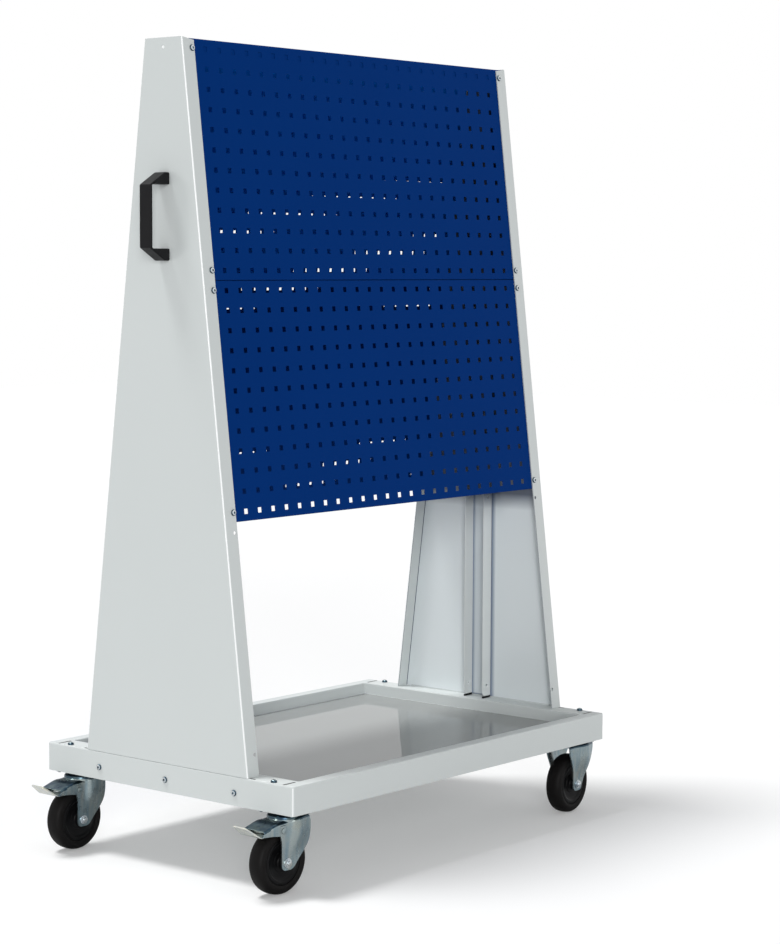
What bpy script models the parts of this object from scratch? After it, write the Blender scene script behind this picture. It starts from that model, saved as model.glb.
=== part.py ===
# Mobile pegboard trolley: an open tray on four castors, two tapering end panels,
# and two perforated panels on each long side. Metres, +Z up, the floor at z = 0.
# The handle and the braked castors are at the -X end and the front looks to -Y.
import math

import bmesh
import bpy
from mathutils import Euler

# Sheet metal and fits
SHEET = 0.002
PANEL_SHEET = 0.0012
FIT = 0.0003
OVERRUN = 0.004
WELD = 0.00001

# Tray
LENGTH = 1.000
DEPTH = 0.661
TRAY_TOP = 0.212
RAIL_HEIGHT = 0.056
END_FLANGE = 0.047
RIM_FLANGE = 0.028
FLOOR_DROP = 0.025
TRAY_CORNER = 0.006
CORNER_STEPS = 4
HEM = 0.014
HEM_END_GAP = 0.110
CORNER_SLOT = 0.006
CORNER_SLOT_LENGTH = 0.034
HOOK_SLOT_WIDTH = 0.004
HOOK_SLOT_LENGTH = 0.026
FOOT_SLOT_WIDTH = 0.006
FOOT_SLOT_LENGTH = 0.015
BEAM_WIDTH = 0.062
BEAM_END_GAP = 0.003
BEAM_SIDE_GAP = 0.010

# End panels
END_PANEL_TOP = 1.594
TOP_HALF_DEPTH = 0.049
FOOT_INSET = 0.1135
END_PANEL_FLANGE = 0.032
FLANGE_CHAMFER = 0.005
TONGUE_INSET = 0.017
TONGUE_DEPTH = 0.047
HANG_HOLE_DROP = 0.018

# Inner channels of the end panels
CHANNEL_WIDTH = 0.053
CHANNEL_FLANGE = 0.030
CHANNEL_RISE = 0.0045
CHANNEL_DROP = 0.044
CHANNEL_CORNER = 0.008
CHANNEL_HOLE_RISES = (0.028, 0.448)
CHANNEL_HOLE_INSET = 0.0175

# Perforated panels
HOLE_PITCH = 0.038
HOLE_SIZE = 0.010
HOLE_ROWS = 12
FIRST_ROW = 0.0206
PANEL_RETURN = 0.012
SIDE_MARGIN = 0.019
PANEL_GAP = 0.0006
SPARE_HOLE_MARGIN = 0.020

# Screws and bolts
SCREW_HEAD = 0.0062
SCREW_HEAD_HEIGHT = 0.0034
SCREW_SHANK = 0.003
PANEL_SCREW_LENGTH = 0.010
RAIL_SCREW_LENGTH = 0.0064
RAIL_SCREW_INSET = 0.035
RAIL_SCREW_DROP = 0.0315
PANEL_SCREW_INSET = 0.025
CORNER_BOLT_INSET_X = 0.010
CORNER_BOLT_INSET_Y = 0.0565
SCREW_STEPS = 8
PIN_STEPS = 12
HEXAGON = 6
HOLE_CLEARANCE = 0.0005

# Handle
HANDLE_DROP = 0.335
HANDLE_SPAN = 0.166
HANDLE_LEG = 0.023
HANDLE_WIDTH = 0.026
HANDLE_STANDOFF = 0.044
HANDLE_BAR = 0.006
HANDLE_CHAMFER = 0.016
HANDLE_EDGE = 0.002

# Castors
CASTOR_INSET_X = 0.039
CASTOR_INSET_Y = 0.055
TRAIL = 0.020
WHEEL_RADIUS = 0.0625
TYRE_WIDTH = 0.036
TYRE_BORE = 0.044
HUB_RADIUS = 0.011
HUB_LENGTH = 0.0475
RIM_THICKNESS = 0.007
WEB_THICKNESS = 0.025
WHEEL_STEPS = 24
AXLE_RADIUS = 0.004
AXLE_HEAD = 0.0075
AXLE_HEAD_HEIGHT = 0.0055
PLATE_LENGTH = 0.066
PLATE_WIDTH = 0.100
PLATE_THICKNESS = 0.004
RACE_RADIUS = 0.031
RACE_HEIGHT = 0.006
NUT_RADIUS = 0.0068
NUT_HEIGHT = 0.006
BOLT_SPREAD_X = 0.046
BOLT_SPREAD_Y = 0.076
CROWN_RADIUS = 0.038
FLARE_LOW = 0.071
FLARE_HIGH = 0.125
CHEEK_GAP = 0.049
CHEEK = 0.003
ROUND_STEPS = 20

# Brake pedals
PEDAL_REACH = 0.099
PEDAL_TOP = 0.140
PEDAL_SHEET = 0.0025
PEDAL_SIDE_GAP = 0.0008
PAD_LENGTH = 0.012
PAD_WIDTH = 0.028
PAD_TOP = 0.1345
PAD_BOTTOM = 0.1178
PAD_BACK = 0.042
RIVET_BACK = 0.012
RIVET_HEIGHT = 0.125
RIVET_RADIUS = 0.004
RIVET_END = 0.002

# The heading of each castor in the photograph, in degrees from the trolley's length
CASTORS = {
    "front_left": (-1, -1, -3.0),
    "rear_left": (-1, 1, 0.0),
    "front_right": (1, -1, 4.0),
    "rear_right": (1, 1, -3.0),
}
BRAKED = ("front_left", "rear_left")

# Cheek outlines: shares of the crown's reach ahead of the axle and of its rise above it
BRAKED_CHEEK_SHARES = ((-0.336, 1.0), (-0.336, 0.66), (-0.25, 0.45), (-0.25, -0.04), (-0.14, -0.155),
                       (0.14, -0.155), (0.39, -0.04), (0.66, 0.15), (0.85, 0.30), (0.97, 0.49), (1.0, 1.0))
PLAIN_CHEEK_SHARES = ((-0.65, 1.0), (-0.59, 0.75), (-0.32, 0.315), (-0.29, -0.04), (-0.16, -0.155),
                      (0.16, -0.155), (0.31, 0.0), (0.58, 0.315), (0.905, 0.75), (1.0, 1.0))
# Pedal outlines: shares of the pedal's reach behind the axle and of its top above it
PEDAL_TOP_SHARES = ((0.05, 0.96), (0.12, 1.0), (0.24, 0.99), (0.42, 0.948), (0.61, 0.903))
PEDAL_REST_SHARES = ((0.74, 0.852), (1.0, 1.056), (0.99, 1.012), (0.735, 0.785), (0.67, 0.748),
                     (0.40, 0.716), (0.20, 0.697), (0.05, 0.697))
# Tyre outline: shares of the tyre's depth outside its bore and of its half width
TYRE_SHARES = ((0.0, 0.90), (0.55, 1.0), (0.88, 0.78), (1.0, 0.36))
DOME_SHARE = 0.75

# Sizes that follow from those above
FOOT_HALF_DEPTH = DEPTH / 2 - FOOT_INSET
TONGUE_HALF_WIDTH = FOOT_HALF_DEPTH - TONGUE_INSET
RAIL_SCREW_SPREAD = FOOT_HALF_DEPTH - RAIL_SCREW_INSET
CHANNEL_FOOT = TRAY_TOP + CHANNEL_RISE
CHANNEL_TOP = END_PANEL_TOP - CHANNEL_DROP
HANDLE_HEIGHT = END_PANEL_TOP - HANDLE_DROP
RAIL_BOTTOM = TRAY_TOP - RAIL_HEIGHT
FLOOR_TOP = TRAY_TOP - FLOOR_DROP
FLOOR_BOTTOM = FLOOR_TOP - SHEET
TILT = math.atan((FOOT_HALF_DEPTH - TOP_HALF_DEPTH) / (END_PANEL_TOP - TRAY_TOP))
CASTOR_X = LENGTH / 2 - CASTOR_INSET_X
CASTOR_Y = DEPTH / 2 - CASTOR_INSET_Y
PLATE_TOP = RAIL_BOTTOM + PLATE_THICKNESS
CROWN_TOP = RAIL_BOTTOM - RACE_HEIGHT - FIT
CROWN_REACH = TRAIL + CROWN_RADIUS
SCREW_COLUMN = LENGTH / 2 - PANEL_SCREW_INSET
HOLE_COLUMNS = round(2 * SCREW_COLUMN / HOLE_PITCH) - 1
PANEL_HEIGHT = HOLE_PITCH * HOLE_ROWS
SLOPE = (END_PANEL_TOP - TRAY_TOP) / math.cos(TILT)
LAST_ROW = int((SLOPE - FIRST_ROW - SPARE_HOLE_MARGIN) / HOLE_PITCH)
SPARE_ROWS = (2 * HOLE_ROWS, LAST_ROW)
PEDAL_HALF_WIDTH = CHEEK_GAP / 2 - PEDAL_SIDE_GAP
TURN = math.radians(max(abs(CASTORS[tag][2]) for tag in BRAKED))
PEDAL_END = CASTOR_X + (TRAIL + PEDAL_REACH) * math.cos(TURN) + PEDAL_HALF_WIDTH * math.sin(TURN)
SCREW_END = LENGTH / 2 + FIT + SCREW_HEAD_HEIGHT
SHIFT = (PEDAL_END - SCREW_END) / 2
QUARTER = math.pi / 2


def clear_scene():
    for obj in list(bpy.data.objects):
        bpy.data.objects.remove(obj, do_unlink=True)


def new_collection(name):
    group = bpy.data.collections.new(name)
    bpy.context.scene.collection.children.link(group)
    return group


def new_material(name, colour, roughness, metallic):
    mat = bpy.data.materials.new(name)
    mat.use_nodes = True
    shader = mat.node_tree.nodes["Principled BSDF"]
    shader.inputs["Base Color"].default_value = (*colour, 1.0)
    shader.inputs["Roughness"].default_value = roughness
    shader.inputs["Metallic"].default_value = metallic
    return mat


def empty(name, parent=None, location=(0, 0, 0), rotation=(0, 0, 0)):
    obj = bpy.data.objects.new(name, None)
    PARTS.objects.link(obj)
    obj.parent = parent
    obj.location = location
    obj.rotation_euler = rotation
    return obj


def place(name, mesh, parent, location=(0, 0, 0), rotation=(0, 0, 0), mat=None):
    """Put a mesh in the scene: a piece when it has a material, otherwise a tool for a modifier."""
    mesh.name = name
    obj = bpy.data.objects.new(name, mesh)
    obj.parent = parent
    obj.location = location
    obj.rotation_euler = rotation
    if mat:
        mesh.materials.append(mat)
        PARTS.objects.link(obj)
    else:
        obj.hide_render = True
        obj.display_type = "WIRE"
        TOOLS.objects.link(obj)
    return obj


def finish_mesh(bm):
    mesh = bpy.data.meshes.new("shape")
    bm.to_mesh(mesh)
    bm.free()
    return mesh


def box(size, centres=((0, 0, 0),)):
    """One cuboid of the given size at each centre."""
    bm = bmesh.new()
    for centre in centres:
        made = bmesh.ops.create_cube(bm, size=1)["verts"]
        bmesh.ops.scale(bm, vec=size, verts=made)
        bmesh.ops.translate(bm, vec=centre, verts=made)
    return finish_mesh(bm)


def rod(radius, length, steps, centres=((0, 0, 0),)):
    """One cylinder along local Z at each centre."""
    bm = bmesh.new()
    for centre in centres:
        made = bmesh.ops.create_cone(bm, cap_ends=True, segments=steps, radius1=radius,
                                     radius2=radius, depth=length)
        bmesh.ops.translate(bm, vec=centre, verts=made["verts"])
    return finish_mesh(bm)


def combine(obj, tool, operation="DIFFERENCE"):
    mod = obj.modifiers.new(tool.name, "BOOLEAN")
    mod.operation = operation
    mod.solver = "EXACT"
    mod.object = tool
    return obj


def bevel(obj, width, segments, angle=math.radians(40)):
    mod = obj.modifiers.new("bevel", "BEVEL")
    mod.width = width
    mod.segments = segments
    mod.limit_method = "ANGLE"
    mod.angle_limit = angle
    return obj


def solidify(obj, thickness, offset):
    mod = obj.modifiers.new("sheet", "SOLIDIFY")
    mod.thickness = thickness
    mod.offset = offset
    mod.use_even_offset = True
    return obj


def folded(outline, length):
    """An open sheet in folds: outline points (y, z), drawn out along local X."""
    bm = bmesh.new()
    rows = [[bm.verts.new((x, y, z)) for y, z in outline] for x in (-length / 2, length / 2)]
    for k in range(len(outline) - 1):
        bm.faces.new((rows[0][k], rows[1][k], rows[1][k + 1], rows[0][k + 1]))
    return finish_mesh(bm)


def flat_outline(points, thickness):
    """A closed flat outline in local XY, as thick as stated along local Z."""
    data = bpy.data.curves.new("outline", "CURVE")
    data.dimensions = "2D"
    data.fill_mode = "BOTH"
    data.extrude = thickness / 2
    spline = data.splines.new("POLY")
    spline.points.add(len(points) - 1)
    for point, (x, y) in zip(spline.points, points):
        point.co = (x, y, 0, 1)
    spline.use_cyclic_u = True
    guide = bpy.data.objects.new("outline", data)
    TOOLS.objects.link(guide)
    bpy.context.view_layer.update()
    mesh = bpy.data.meshes.new_from_object(guide.evaluated_get(bpy.context.evaluated_depsgraph_get()))
    bpy.data.objects.remove(guide, do_unlink=True)
    bm = bmesh.new()
    bm.from_mesh(mesh)
    bmesh.ops.remove_doubles(bm, verts=bm.verts, dist=WELD)
    bmesh.ops.recalc_face_normals(bm, faces=bm.faces)
    bm.to_mesh(mesh)
    bm.free()
    return mesh


def turned(profile, closed=False):
    """Edges of a turned profile (radius, height), for a Screw modifier about local Z."""
    bm = bmesh.new()
    points = [bm.verts.new((r, 0, z)) for r, z in profile]
    for a, b in zip(points, points[1:] + points[:1] if closed else points[1:]):
        bm.edges.new((a, b))
    return finish_mesh(bm)


def spin(obj, steps):
    mod = obj.modifiers.new("turn", "SCREW")
    mod.axis = "Z"
    mod.steps = steps
    mod.render_steps = steps
    mod.use_merge_vertices = True
    mod.merge_threshold = WELD
    mod.use_smooth_shade = True
    return obj


def screw(name, parent, location, rotation, length, mat):
    """A dome-headed screw: its head stands out along local +Z and is seated at local z = 0."""
    profile = [(0, SCREW_HEAD_HEIGHT), (SCREW_HEAD * DOME_SHARE, SCREW_HEAD_HEIGHT * DOME_SHARE),
               (SCREW_HEAD, 0), (SCREW_SHANK, 0), (SCREW_SHANK, -length), (0, -length)]
    return spin(place(name, turned(profile), parent, location, rotation, mat), SCREW_STEPS)


def tray_cutters(trolley):
    """The hollow under the flanges and floor, and the tray's recess."""
    inner_x = LENGTH - 2 * SHEET
    inner_y = DEPTH - 2 * SHEET
    lip_x = LENGTH - 2 * END_FLANGE
    lip_y = DEPTH - 2 * RIM_FLANGE
    low = RAIL_BOTTOM - OVERRUN
    high = TRAY_TOP - SHEET
    hollow = place("tray_hollow", box((inner_x, inner_y, high - low)), trolley,
                   (0, 0, (high + low) / 2))
    core_top = TRAY_TOP + OVERRUN
    core = place("tray_core", box((lip_x + 2 * SHEET, lip_y + 2 * SHEET, core_top - FLOOR_BOTTOM)),
                 trolley, (0, 0, (core_top + FLOOR_BOTTOM) / 2))
    combine(hollow, core)
    recess = place("tray_recess", box((lip_x, lip_y, core_top - FLOOR_TOP)), trolley,
                   (0, 0, (core_top + FLOOR_TOP) / 2))
    return hollow, recess


def tray_slots(trolley):
    """Slots at the corners, for the tongues, under the channels and beside the end panels' feet."""
    z = TRAY_TOP - SHEET / 2
    tall = SHEET + 2 * OVERRUN
    outer = LENGTH / 2
    corner_x = outer - 2 * SHEET - CORNER_SLOT_LENGTH / 2
    corner_y = DEPTH / 2 - RIM_FLANGE
    corners = [(sx * corner_x, sy * corner_y, z) for sx in (-1, 1) for sy in (-1, 1)]
    tongue_x = outer - SHEET - FIT - SHEET / 2
    tongue_y = 2 * (TONGUE_HALF_WIDTH + HOLE_CLEARANCE)
    tongues = [(s * tongue_x, 0, z) for s in (-1, 1)]
    hook_x = tongue_x - SHEET / 2 - CHANNEL_FLANGE / 2
    hook_y = CHANNEL_WIDTH / 2 - SHEET / 2
    hooks = [(sx * hook_x, sy * hook_y, z) for sx in (-1, 1) for sy in (-1, 1)]
    foot_x = outer - 2 * SHEET - FOOT_SLOT_WIDTH / 2
    foot_y = FOOT_HALF_DEPTH + (FOOT_SLOT_LENGTH - SHEET) / 2
    feet = [(sx * foot_x, sy * foot_y, z) for sx in (-1, 1) for sy in (-1, 1)]
    return [
        place("corner_slots", box((CORNER_SLOT_LENGTH, CORNER_SLOT, tall), corners), trolley),
        place("tongue_slots", box((SHEET + HOLE_CLEARANCE, tongue_y, tall), tongues), trolley),
        place("hook_slots", box((HOOK_SLOT_LENGTH, HOOK_SLOT_WIDTH, tall), hooks), trolley),
        place("foot_slots", box((FOOT_SLOT_WIDTH, FOOT_SLOT_LENGTH, tall), feet), trolley),
    ]


def base_tray(trolley):
    """The welded tray: walls, top flanges, sunk floor, hems and the two castor beams, one body."""
    name = "base_tray"
    tray = place(name, box((LENGTH, DEPTH, RAIL_HEIGHT)), trolley,
                 (0, 0, (TRAY_TOP + RAIL_BOTTOM) / 2), mat=GREY)
    weights = tray.data.attributes.new("bevel_weight_edge", "FLOAT", "EDGE")
    for edge in tray.data.edges:
        a, b = (tray.data.vertices[v].co for v in edge.vertices)
        weights.data[edge.index].value = 1.0 if abs(a.z - b.z) > RAIL_HEIGHT / 2 else 0.0
    mod = tray.modifiers.new("rounded_corners", "BEVEL")
    mod.limit_method = "WEIGHT"
    mod.width = TRAY_CORNER
    mod.segments = CORNER_STEPS
    for cutter in (*tray_cutters(trolley), *tray_slots(trolley)):
        combine(tray, cutter)
    hem_z = RAIL_BOTTOM + SHEET / 2
    long_hem = (LENGTH - 2 * HEM_END_GAP, HEM, SHEET)
    long_y = DEPTH / 2 - SHEET / 2 - HEM / 2
    hems = place("long_hems", box(long_hem, [(0, s * long_y, hem_z) for s in (-1, 1)]), trolley)
    combine(tray, hems, "UNION")
    short_hem = (HEM, DEPTH - 2 * HEM_END_GAP, SHEET)
    short_x = LENGTH / 2 - SHEET / 2 - HEM / 2
    hems = place("short_hems", box(short_hem, [(s * short_x, 0, hem_z) for s in (-1, 1)]), trolley)
    combine(tray, hems, "UNION")
    for s in (-1, 1):
        combine(tray, castor_beam(trolley, s), "UNION")
    screw_x = LENGTH / 2 - SHEET / 2
    spots = [(s * screw_x, y, TRAY_TOP - RAIL_SCREW_DROP) for s in (-1, 1) for y in rail_screw_places()]
    combine(tray, drilled("rail_screw_holes", spots, SHEET, trolley, (0, QUARTER, 0)))
    spots = [(x, y, TRAY_TOP - SHEET / 2) for x, y in corner_bolt_places()]
    combine(tray, drilled("corner_bolt_holes", spots, SHEET, trolley, (0, 0, 0)))
    return tray


def drilled(name, spots, through, parent, turn):
    """Cutters for screw holes through a wall at each spot, with their axis along local Z turned by turn."""
    bm = bmesh.new()
    for spot in spots:
        radius = SCREW_SHANK + HOLE_CLEARANCE
        made = bmesh.ops.create_cone(bm, cap_ends=True, segments=SCREW_STEPS, radius1=radius,
                                     radius2=radius, depth=through + 2 * SHEET)
        bmesh.ops.rotate(bm, cent=(0, 0, 0), matrix=Euler(turn).to_matrix(), verts=made["verts"])
        bmesh.ops.translate(bm, vec=spot, verts=made["verts"])
    return place(name, finish_mesh(bm), parent)


def castor_beam(trolley, side):
    """A channel across the tray's underside that carries two castor plates."""
    bottom = PLATE_TOP + FIT
    half = BEAM_WIDTH / 2
    outline = [(half, FLOOR_BOTTOM - BEAM_SIDE_GAP), (half, bottom), (-half, bottom),
               (-half, FLOOR_BOTTOM + SHEET / 2)]
    outline = [(-side * y, z) for y, z in outline]
    length = DEPTH - 2 * SHEET - 2 * BEAM_END_GAP
    name = "castor_beam_right" if side > 0 else "castor_beam_left"
    beam = place(name, folded(outline, length), trolley, (side * CASTOR_X, 0, 0), (0, 0, QUARTER))
    return solidify(beam, SHEET, side)


def rail_screw_places():
    return (-RAIL_SCREW_SPREAD, 0, RAIL_SCREW_SPREAD)


def corner_bolt_places():
    x = LENGTH / 2 - CORNER_BOLT_INSET_X
    y = DEPTH / 2 - CORNER_BOLT_INSET_Y
    return [(sx * x, sy * y) for sx in (-1, 1) for sy in (-1, 1)]


def end_panel(side, trolley, faces):
    """One end: a tapering web with its two folded flanges and a tongue that drops into the tray."""
    name = "end_panel_right" if side > 0 else "end_panel_left"
    outer = side * LENGTH / 2
    inner = side * (LENGTH / 2 - END_PANEL_FLANGE)
    foot = TRAY_TOP + FIT
    foot_half = TOP_HALF_DEPTH + (END_PANEL_TOP - foot) * math.tan(TILT)
    levels = ((foot, foot_half, 0), (END_PANEL_TOP, TOP_HALF_DEPTH, FLANGE_CHAMFER))
    bm = bmesh.new()
    rows = []
    for z, half, drop in levels:
        slide = drop * math.tan(TILT)
        row = ((inner, -half - slide, z - drop), (outer, -half, z), (outer, half, z),
               (inner, half + slide, z - drop))
        rows.append([bm.verts.new(p) for p in row])
    for k in range(3):
        bm.faces.new((rows[0][k], rows[0][k + 1], rows[1][k + 1], rows[1][k]))
    panel = place(name, finish_mesh(bm), trolley, mat=GREY)
    solidify(panel, SHEET, -side)
    tongue_x = LENGTH / 2 - SHEET - FIT - SHEET / 2
    tongue_top = TRAY_TOP + SHEET
    tongue_low = TRAY_TOP - TONGUE_DEPTH
    tongue = place(name + "_tongue", box((SHEET, 2 * TONGUE_HALF_WIDTH, tongue_top - tongue_low)),
                   trolley, (side * tongue_x, 0, (tongue_top + tongue_low) / 2))
    combine(panel, tongue, "UNION")
    step_x = LENGTH / 2 - SHEET - FIT / 2
    step = place(name + "_step", box((SHEET, 2 * TONGUE_HALF_WIDTH, tongue_top - foot)),
                 trolley, (side * step_x, 0, (tongue_top + foot) / 2))
    combine(panel, step, "UNION")
    screw_z = TRAY_TOP - RAIL_SCREW_DROP
    spots = [(side * tongue_x, y, screw_z) for y in rail_screw_places()]
    combine(panel, drilled(name + "_tongue_holes", spots, SHEET, trolley, (0, QUARTER, 0)))
    spots = [(side * (LENGTH / 2 - SHEET / 2), 0, END_PANEL_TOP - HANG_HOLE_DROP)]
    combine(panel, drilled(name + "_hang_hole", spots, SHEET, trolley, (0, QUARTER, 0)))
    if side < 0:
        spots = [(outer, 0, z) for z in handle_screw_heights()]
        combine(panel, drilled(name + "_handle_holes", spots, SHEET, trolley, (0, QUARTER, 0)))
    spare = [FIRST_ROW + HOLE_PITCH * k for k in SPARE_ROWS]
    for face, frame in faces.items():
        rows = screw_rows() + (spare if face == "front" else [])
        spots = [(side * SCREW_COLUMN * face_sign(face), SHEET / 2, -s) for s in rows]
        combine(panel, drilled(name + "_" + face, spots, SHEET, frame, (QUARTER, 0, 0)))
    return panel


def face_sign(face):
    """The rear face's own X axis points the other way."""
    return 1 if face == "front" else -1


def screw_rows():
    """Distances down the slope from the top of the end panels to the panels' screws."""
    return [FIRST_ROW + HOLE_PITCH * k for k in (0, HOLE_ROWS - 1, HOLE_ROWS, 2 * HOLE_ROWS - 1)]


def handle_screw_heights():
    reach = (HANDLE_SPAN - HANDLE_LEG) / 2
    return (HANDLE_HEIGHT - reach, HANDLE_HEIGHT + reach)


def channel(side, trolley):
    """The upright channel against the inside of an end panel."""
    name = "inner_channel_right" if side > 0 else "inner_channel_left"
    back = LENGTH / 2 - SHEET - FIT
    half = CHANNEL_WIDTH / 2
    tip = back - CHANNEL_FLANGE
    outline = [(half, tip), (half, back), (-half, back), (-half, tip)]
    obj = place(name, folded(outline, CHANNEL_TOP - CHANNEL_FOOT), trolley,
                (0, 0, (CHANNEL_TOP + CHANNEL_FOOT) / 2), (0, QUARTER, 0 if side > 0 else math.pi), GREY)
    solidify(obj, SHEET, 1)
    across = CHANNEL_WIDTH + 2 * OVERRUN
    x = side * (LENGTH / 2 - CHANNEL_HOLE_INSET)
    spots = [(x, 0, TRAY_TOP + rise) for rise in CHANNEL_HOLE_RISES]
    combine(obj, drilled(name + "_holes", spots, across, trolley, (QUARTER, 0, 0)))
    if side < 0:
        spots = [(-back, 0, z) for z in handle_screw_heights()]
        combine(obj, drilled(name + "_handle_holes", spots, SHEET, trolley, (0, QUARTER, 0)))
    corner = math.sqrt(2) * CHANNEL_CORNER
    nick = place(name + "_corner", box((corner, across, corner)), trolley,
                 (side * tip, 0, CHANNEL_FOOT), (0, QUARTER / 2, 0))
    return combine(obj, nick)


def perforated_panel(name, top, face, frame, punched):
    """A steel sheet with its top and bottom edges turned back, on the inner side of the flanges."""
    width = 2 * SCREW_COLUMN + 2 * SIDE_MARGIN
    bottom = -top - PANEL_HEIGHT + PANEL_GAP
    front = SHEET + FIT
    back = front + PANEL_RETURN
    outline = [(back, -top), (front, -top), (front, bottom), (back, bottom)]
    panel = place(name, folded(outline, width), frame, mat=BLUE)
    solidify(panel, PANEL_SHEET, 1)
    if punched:
        centres = []
        for row in range(HOLE_ROWS):
            for column in range(HOLE_COLUMNS):
                x = HOLE_PITCH * (column - (HOLE_COLUMNS - 1) / 2)
                centres.append((x, front, -top - SIDE_MARGIN - HOLE_PITCH * row))
        punch = box((HOLE_SIZE, 2 * OVERRUN, HOLE_SIZE), centres)
        combine(panel, place(name + "_punch", punch, frame))
    depth = front + PANEL_SHEET / 2
    spots = [(s * SCREW_COLUMN, depth, -row) for s in (-1, 1) for row in screw_rows()
             if top < row < top + PANEL_HEIGHT]
    return combine(panel, drilled(name + "_holes", spots, PANEL_SHEET, frame, (QUARTER, 0, 0)))


def panels(faces):
    """Two panels on each long side. Only the front pair is punched here: the rear pair matches it."""
    top = FIRST_ROW - SIDE_MARGIN
    for face, frame in faces.items():
        perforated_panel(face + "_panel_upper", top, face, frame, face == "front")
        perforated_panel(face + "_panel_lower", top + PANEL_HEIGHT, face, frame, face == "front")


def fasteners(trolley, faces):
    for face, frame in faces.items():
        for side, end in ((-1, "left"), (1, "right")):
            for k, row in enumerate(screw_rows(), 1):
                spot = (side * face_sign(face) * SCREW_COLUMN, -FIT, -row)
                name = f"{face}_{end}_panel_screw_{k}"
                screw(name, frame, spot, (QUARTER, 0, 0), PANEL_SCREW_LENGTH, ZINC)
    for side, end in ((-1, "left"), (1, "right")):
        for k, y in enumerate(rail_screw_places(), 1):
            spot = (side * (LENGTH / 2 + FIT), y, TRAY_TOP - RAIL_SCREW_DROP)
            name = f"{end}_rail_screw_{k}"
            screw(name, trolley, spot, (0, side * QUARTER, 0), RAIL_SCREW_LENGTH, ZINC)
    for k, (x, y) in enumerate(corner_bolt_places(), 1):
        screw(f"corner_bolt_{k}", trolley, (x, y, TRAY_TOP + FIT), (0, 0, 0), PANEL_SCREW_LENGTH, ZINC)


def handle(trolley):
    """The black pull handle on the left end panel, with its two screws from inside."""
    out = HANDLE_STANDOFF + HANDLE_BAR
    half = HANDLE_SPAN / 2
    inside = half - HANDLE_LEG
    points = [(0, half), (out - HANDLE_CHAMFER, half), (out, half - HANDLE_CHAMFER),
              (out, HANDLE_CHAMFER - half), (out - HANDLE_CHAMFER, -half), (0, -half),
              (0, -inside), (HANDLE_STANDOFF, -inside), (HANDLE_STANDOFF, inside), (0, inside)]
    points = [(-x, z) for x, z in points]
    grip = place("handle", flat_outline(points, HANDLE_WIDTH), trolley,
                 (-LENGTH / 2 - FIT, 0, HANDLE_HEIGHT), (QUARTER, 0, 0), BLACK)
    bevel(grip, HANDLE_EDGE, 1)
    depth = HANDLE_LEG / 2 + SHEET
    spots = [(-LENGTH / 2, 0, z) for z in handle_screw_heights()]
    combine(grip, drilled("handle_holes", spots, 2 * depth, trolley, (0, QUARTER, 0)))
    for k, z in enumerate(handle_screw_heights(), 1):
        seat = LENGTH / 2 - 2 * SHEET - 2 * FIT
        screw(f"handle_screw_{k}", trolley, (-seat, 0, z), (0, QUARTER, 0), depth + SHEET, ZINC)


def castor_plate(tag, trolley, x, y):
    """The fixed top plate with its upper race and the four nuts of its bolts."""
    name = f"castor_plate_{tag}"
    plate = place(name, box((PLATE_LENGTH, PLATE_WIDTH, PLATE_THICKNESS)), trolley,
                  (x, y, RAIL_BOTTOM + PLATE_THICKNESS / 2), mat=ZINC)
    race = place(name + "_race", rod(RACE_RADIUS, RACE_HEIGHT + SHEET, ROUND_STEPS), trolley,
                 (x, y, RAIL_BOTTOM - RACE_HEIGHT / 2 + SHEET / 2))
    combine(plate, race, "UNION")
    nuts = [(sx * BOLT_SPREAD_X / 2, sy * BOLT_SPREAD_Y / 2, 0) for sx in (-1, 1) for sy in (-1, 1)]
    tool = place(name + "_nuts", rod(NUT_RADIUS, NUT_HEIGHT + SHEET, HEXAGON, nuts), trolley,
                 (x, y, RAIL_BOTTOM - NUT_HEIGHT / 2 + SHEET / 2))
    return combine(plate, tool, "UNION")


def castor_fork(tag, swivel, braked):
    """Pressed fork: a flat crown under the race, and two cheeks that close in towards the axle."""
    name = f"castor_fork_{tag}"
    rise = CROWN_TOP - WHEEL_RADIUS
    foot = CHEEK_GAP / 2 + CHEEK
    shares = BRAKED_CHEEK_SHARES if braked else PLAIN_CHEEK_SHARES
    outline = [(CROWN_REACH * x - TRAIL, WHEEL_RADIUS + rise * z) for x, z in shares]
    fork = place(name, flat_outline(outline, 2 * CROWN_RADIUS + 2 * OVERRUN), swivel, (0, 0, 0),
                 (QUARTER, 0, 0), ZINC)
    outer = [(CROWN_RADIUS, CROWN_TOP + OVERRUN), (CROWN_RADIUS, FLARE_HIGH), (foot, FLARE_LOW), (foot, 0)]
    inner = [(foot - CHEEK, 0), (foot - CHEEK, FLARE_LOW), (CROWN_RADIUS - CHEEK, FLARE_HIGH),
             (CROWN_RADIUS - CHEEK, CROWN_TOP - CHEEK)]
    half = outer + inner
    front = half + [(-y, z) for y, z in reversed(half)]
    bent = flat_outline(front, 4 * CROWN_REACH)
    combine(fork, place(name + "_front", bent, swivel, (0, 0, 0), (QUARTER, 0, QUARTER)), "INTERSECT")
    bore = place(name + "_bore", rod(AXLE_RADIUS + HOLE_CLEARANCE, 4 * foot, PIN_STEPS), swivel,
                 (-TRAIL, 0, WHEEL_RADIUS), (QUARTER, 0, 0))
    combine(fork, bore)
    if braked:
        near = PEDAL_HALF_WIDTH - PEDAL_SHEET
        far = CROWN_RADIUS + RIVET_END
        ends = [(0, 0, s * (near + far) / 2) for s in (-1, 1)]
        rivet = place(name + "_rivet", rod(RIVET_RADIUS, far - near, PIN_STEPS, ends),
                      swivel, (-TRAIL - RIVET_BACK, 0, RIVET_HEIGHT), (QUARTER, 0, 0))
        combine(fork, rivet, "UNION")
    return fork


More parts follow.
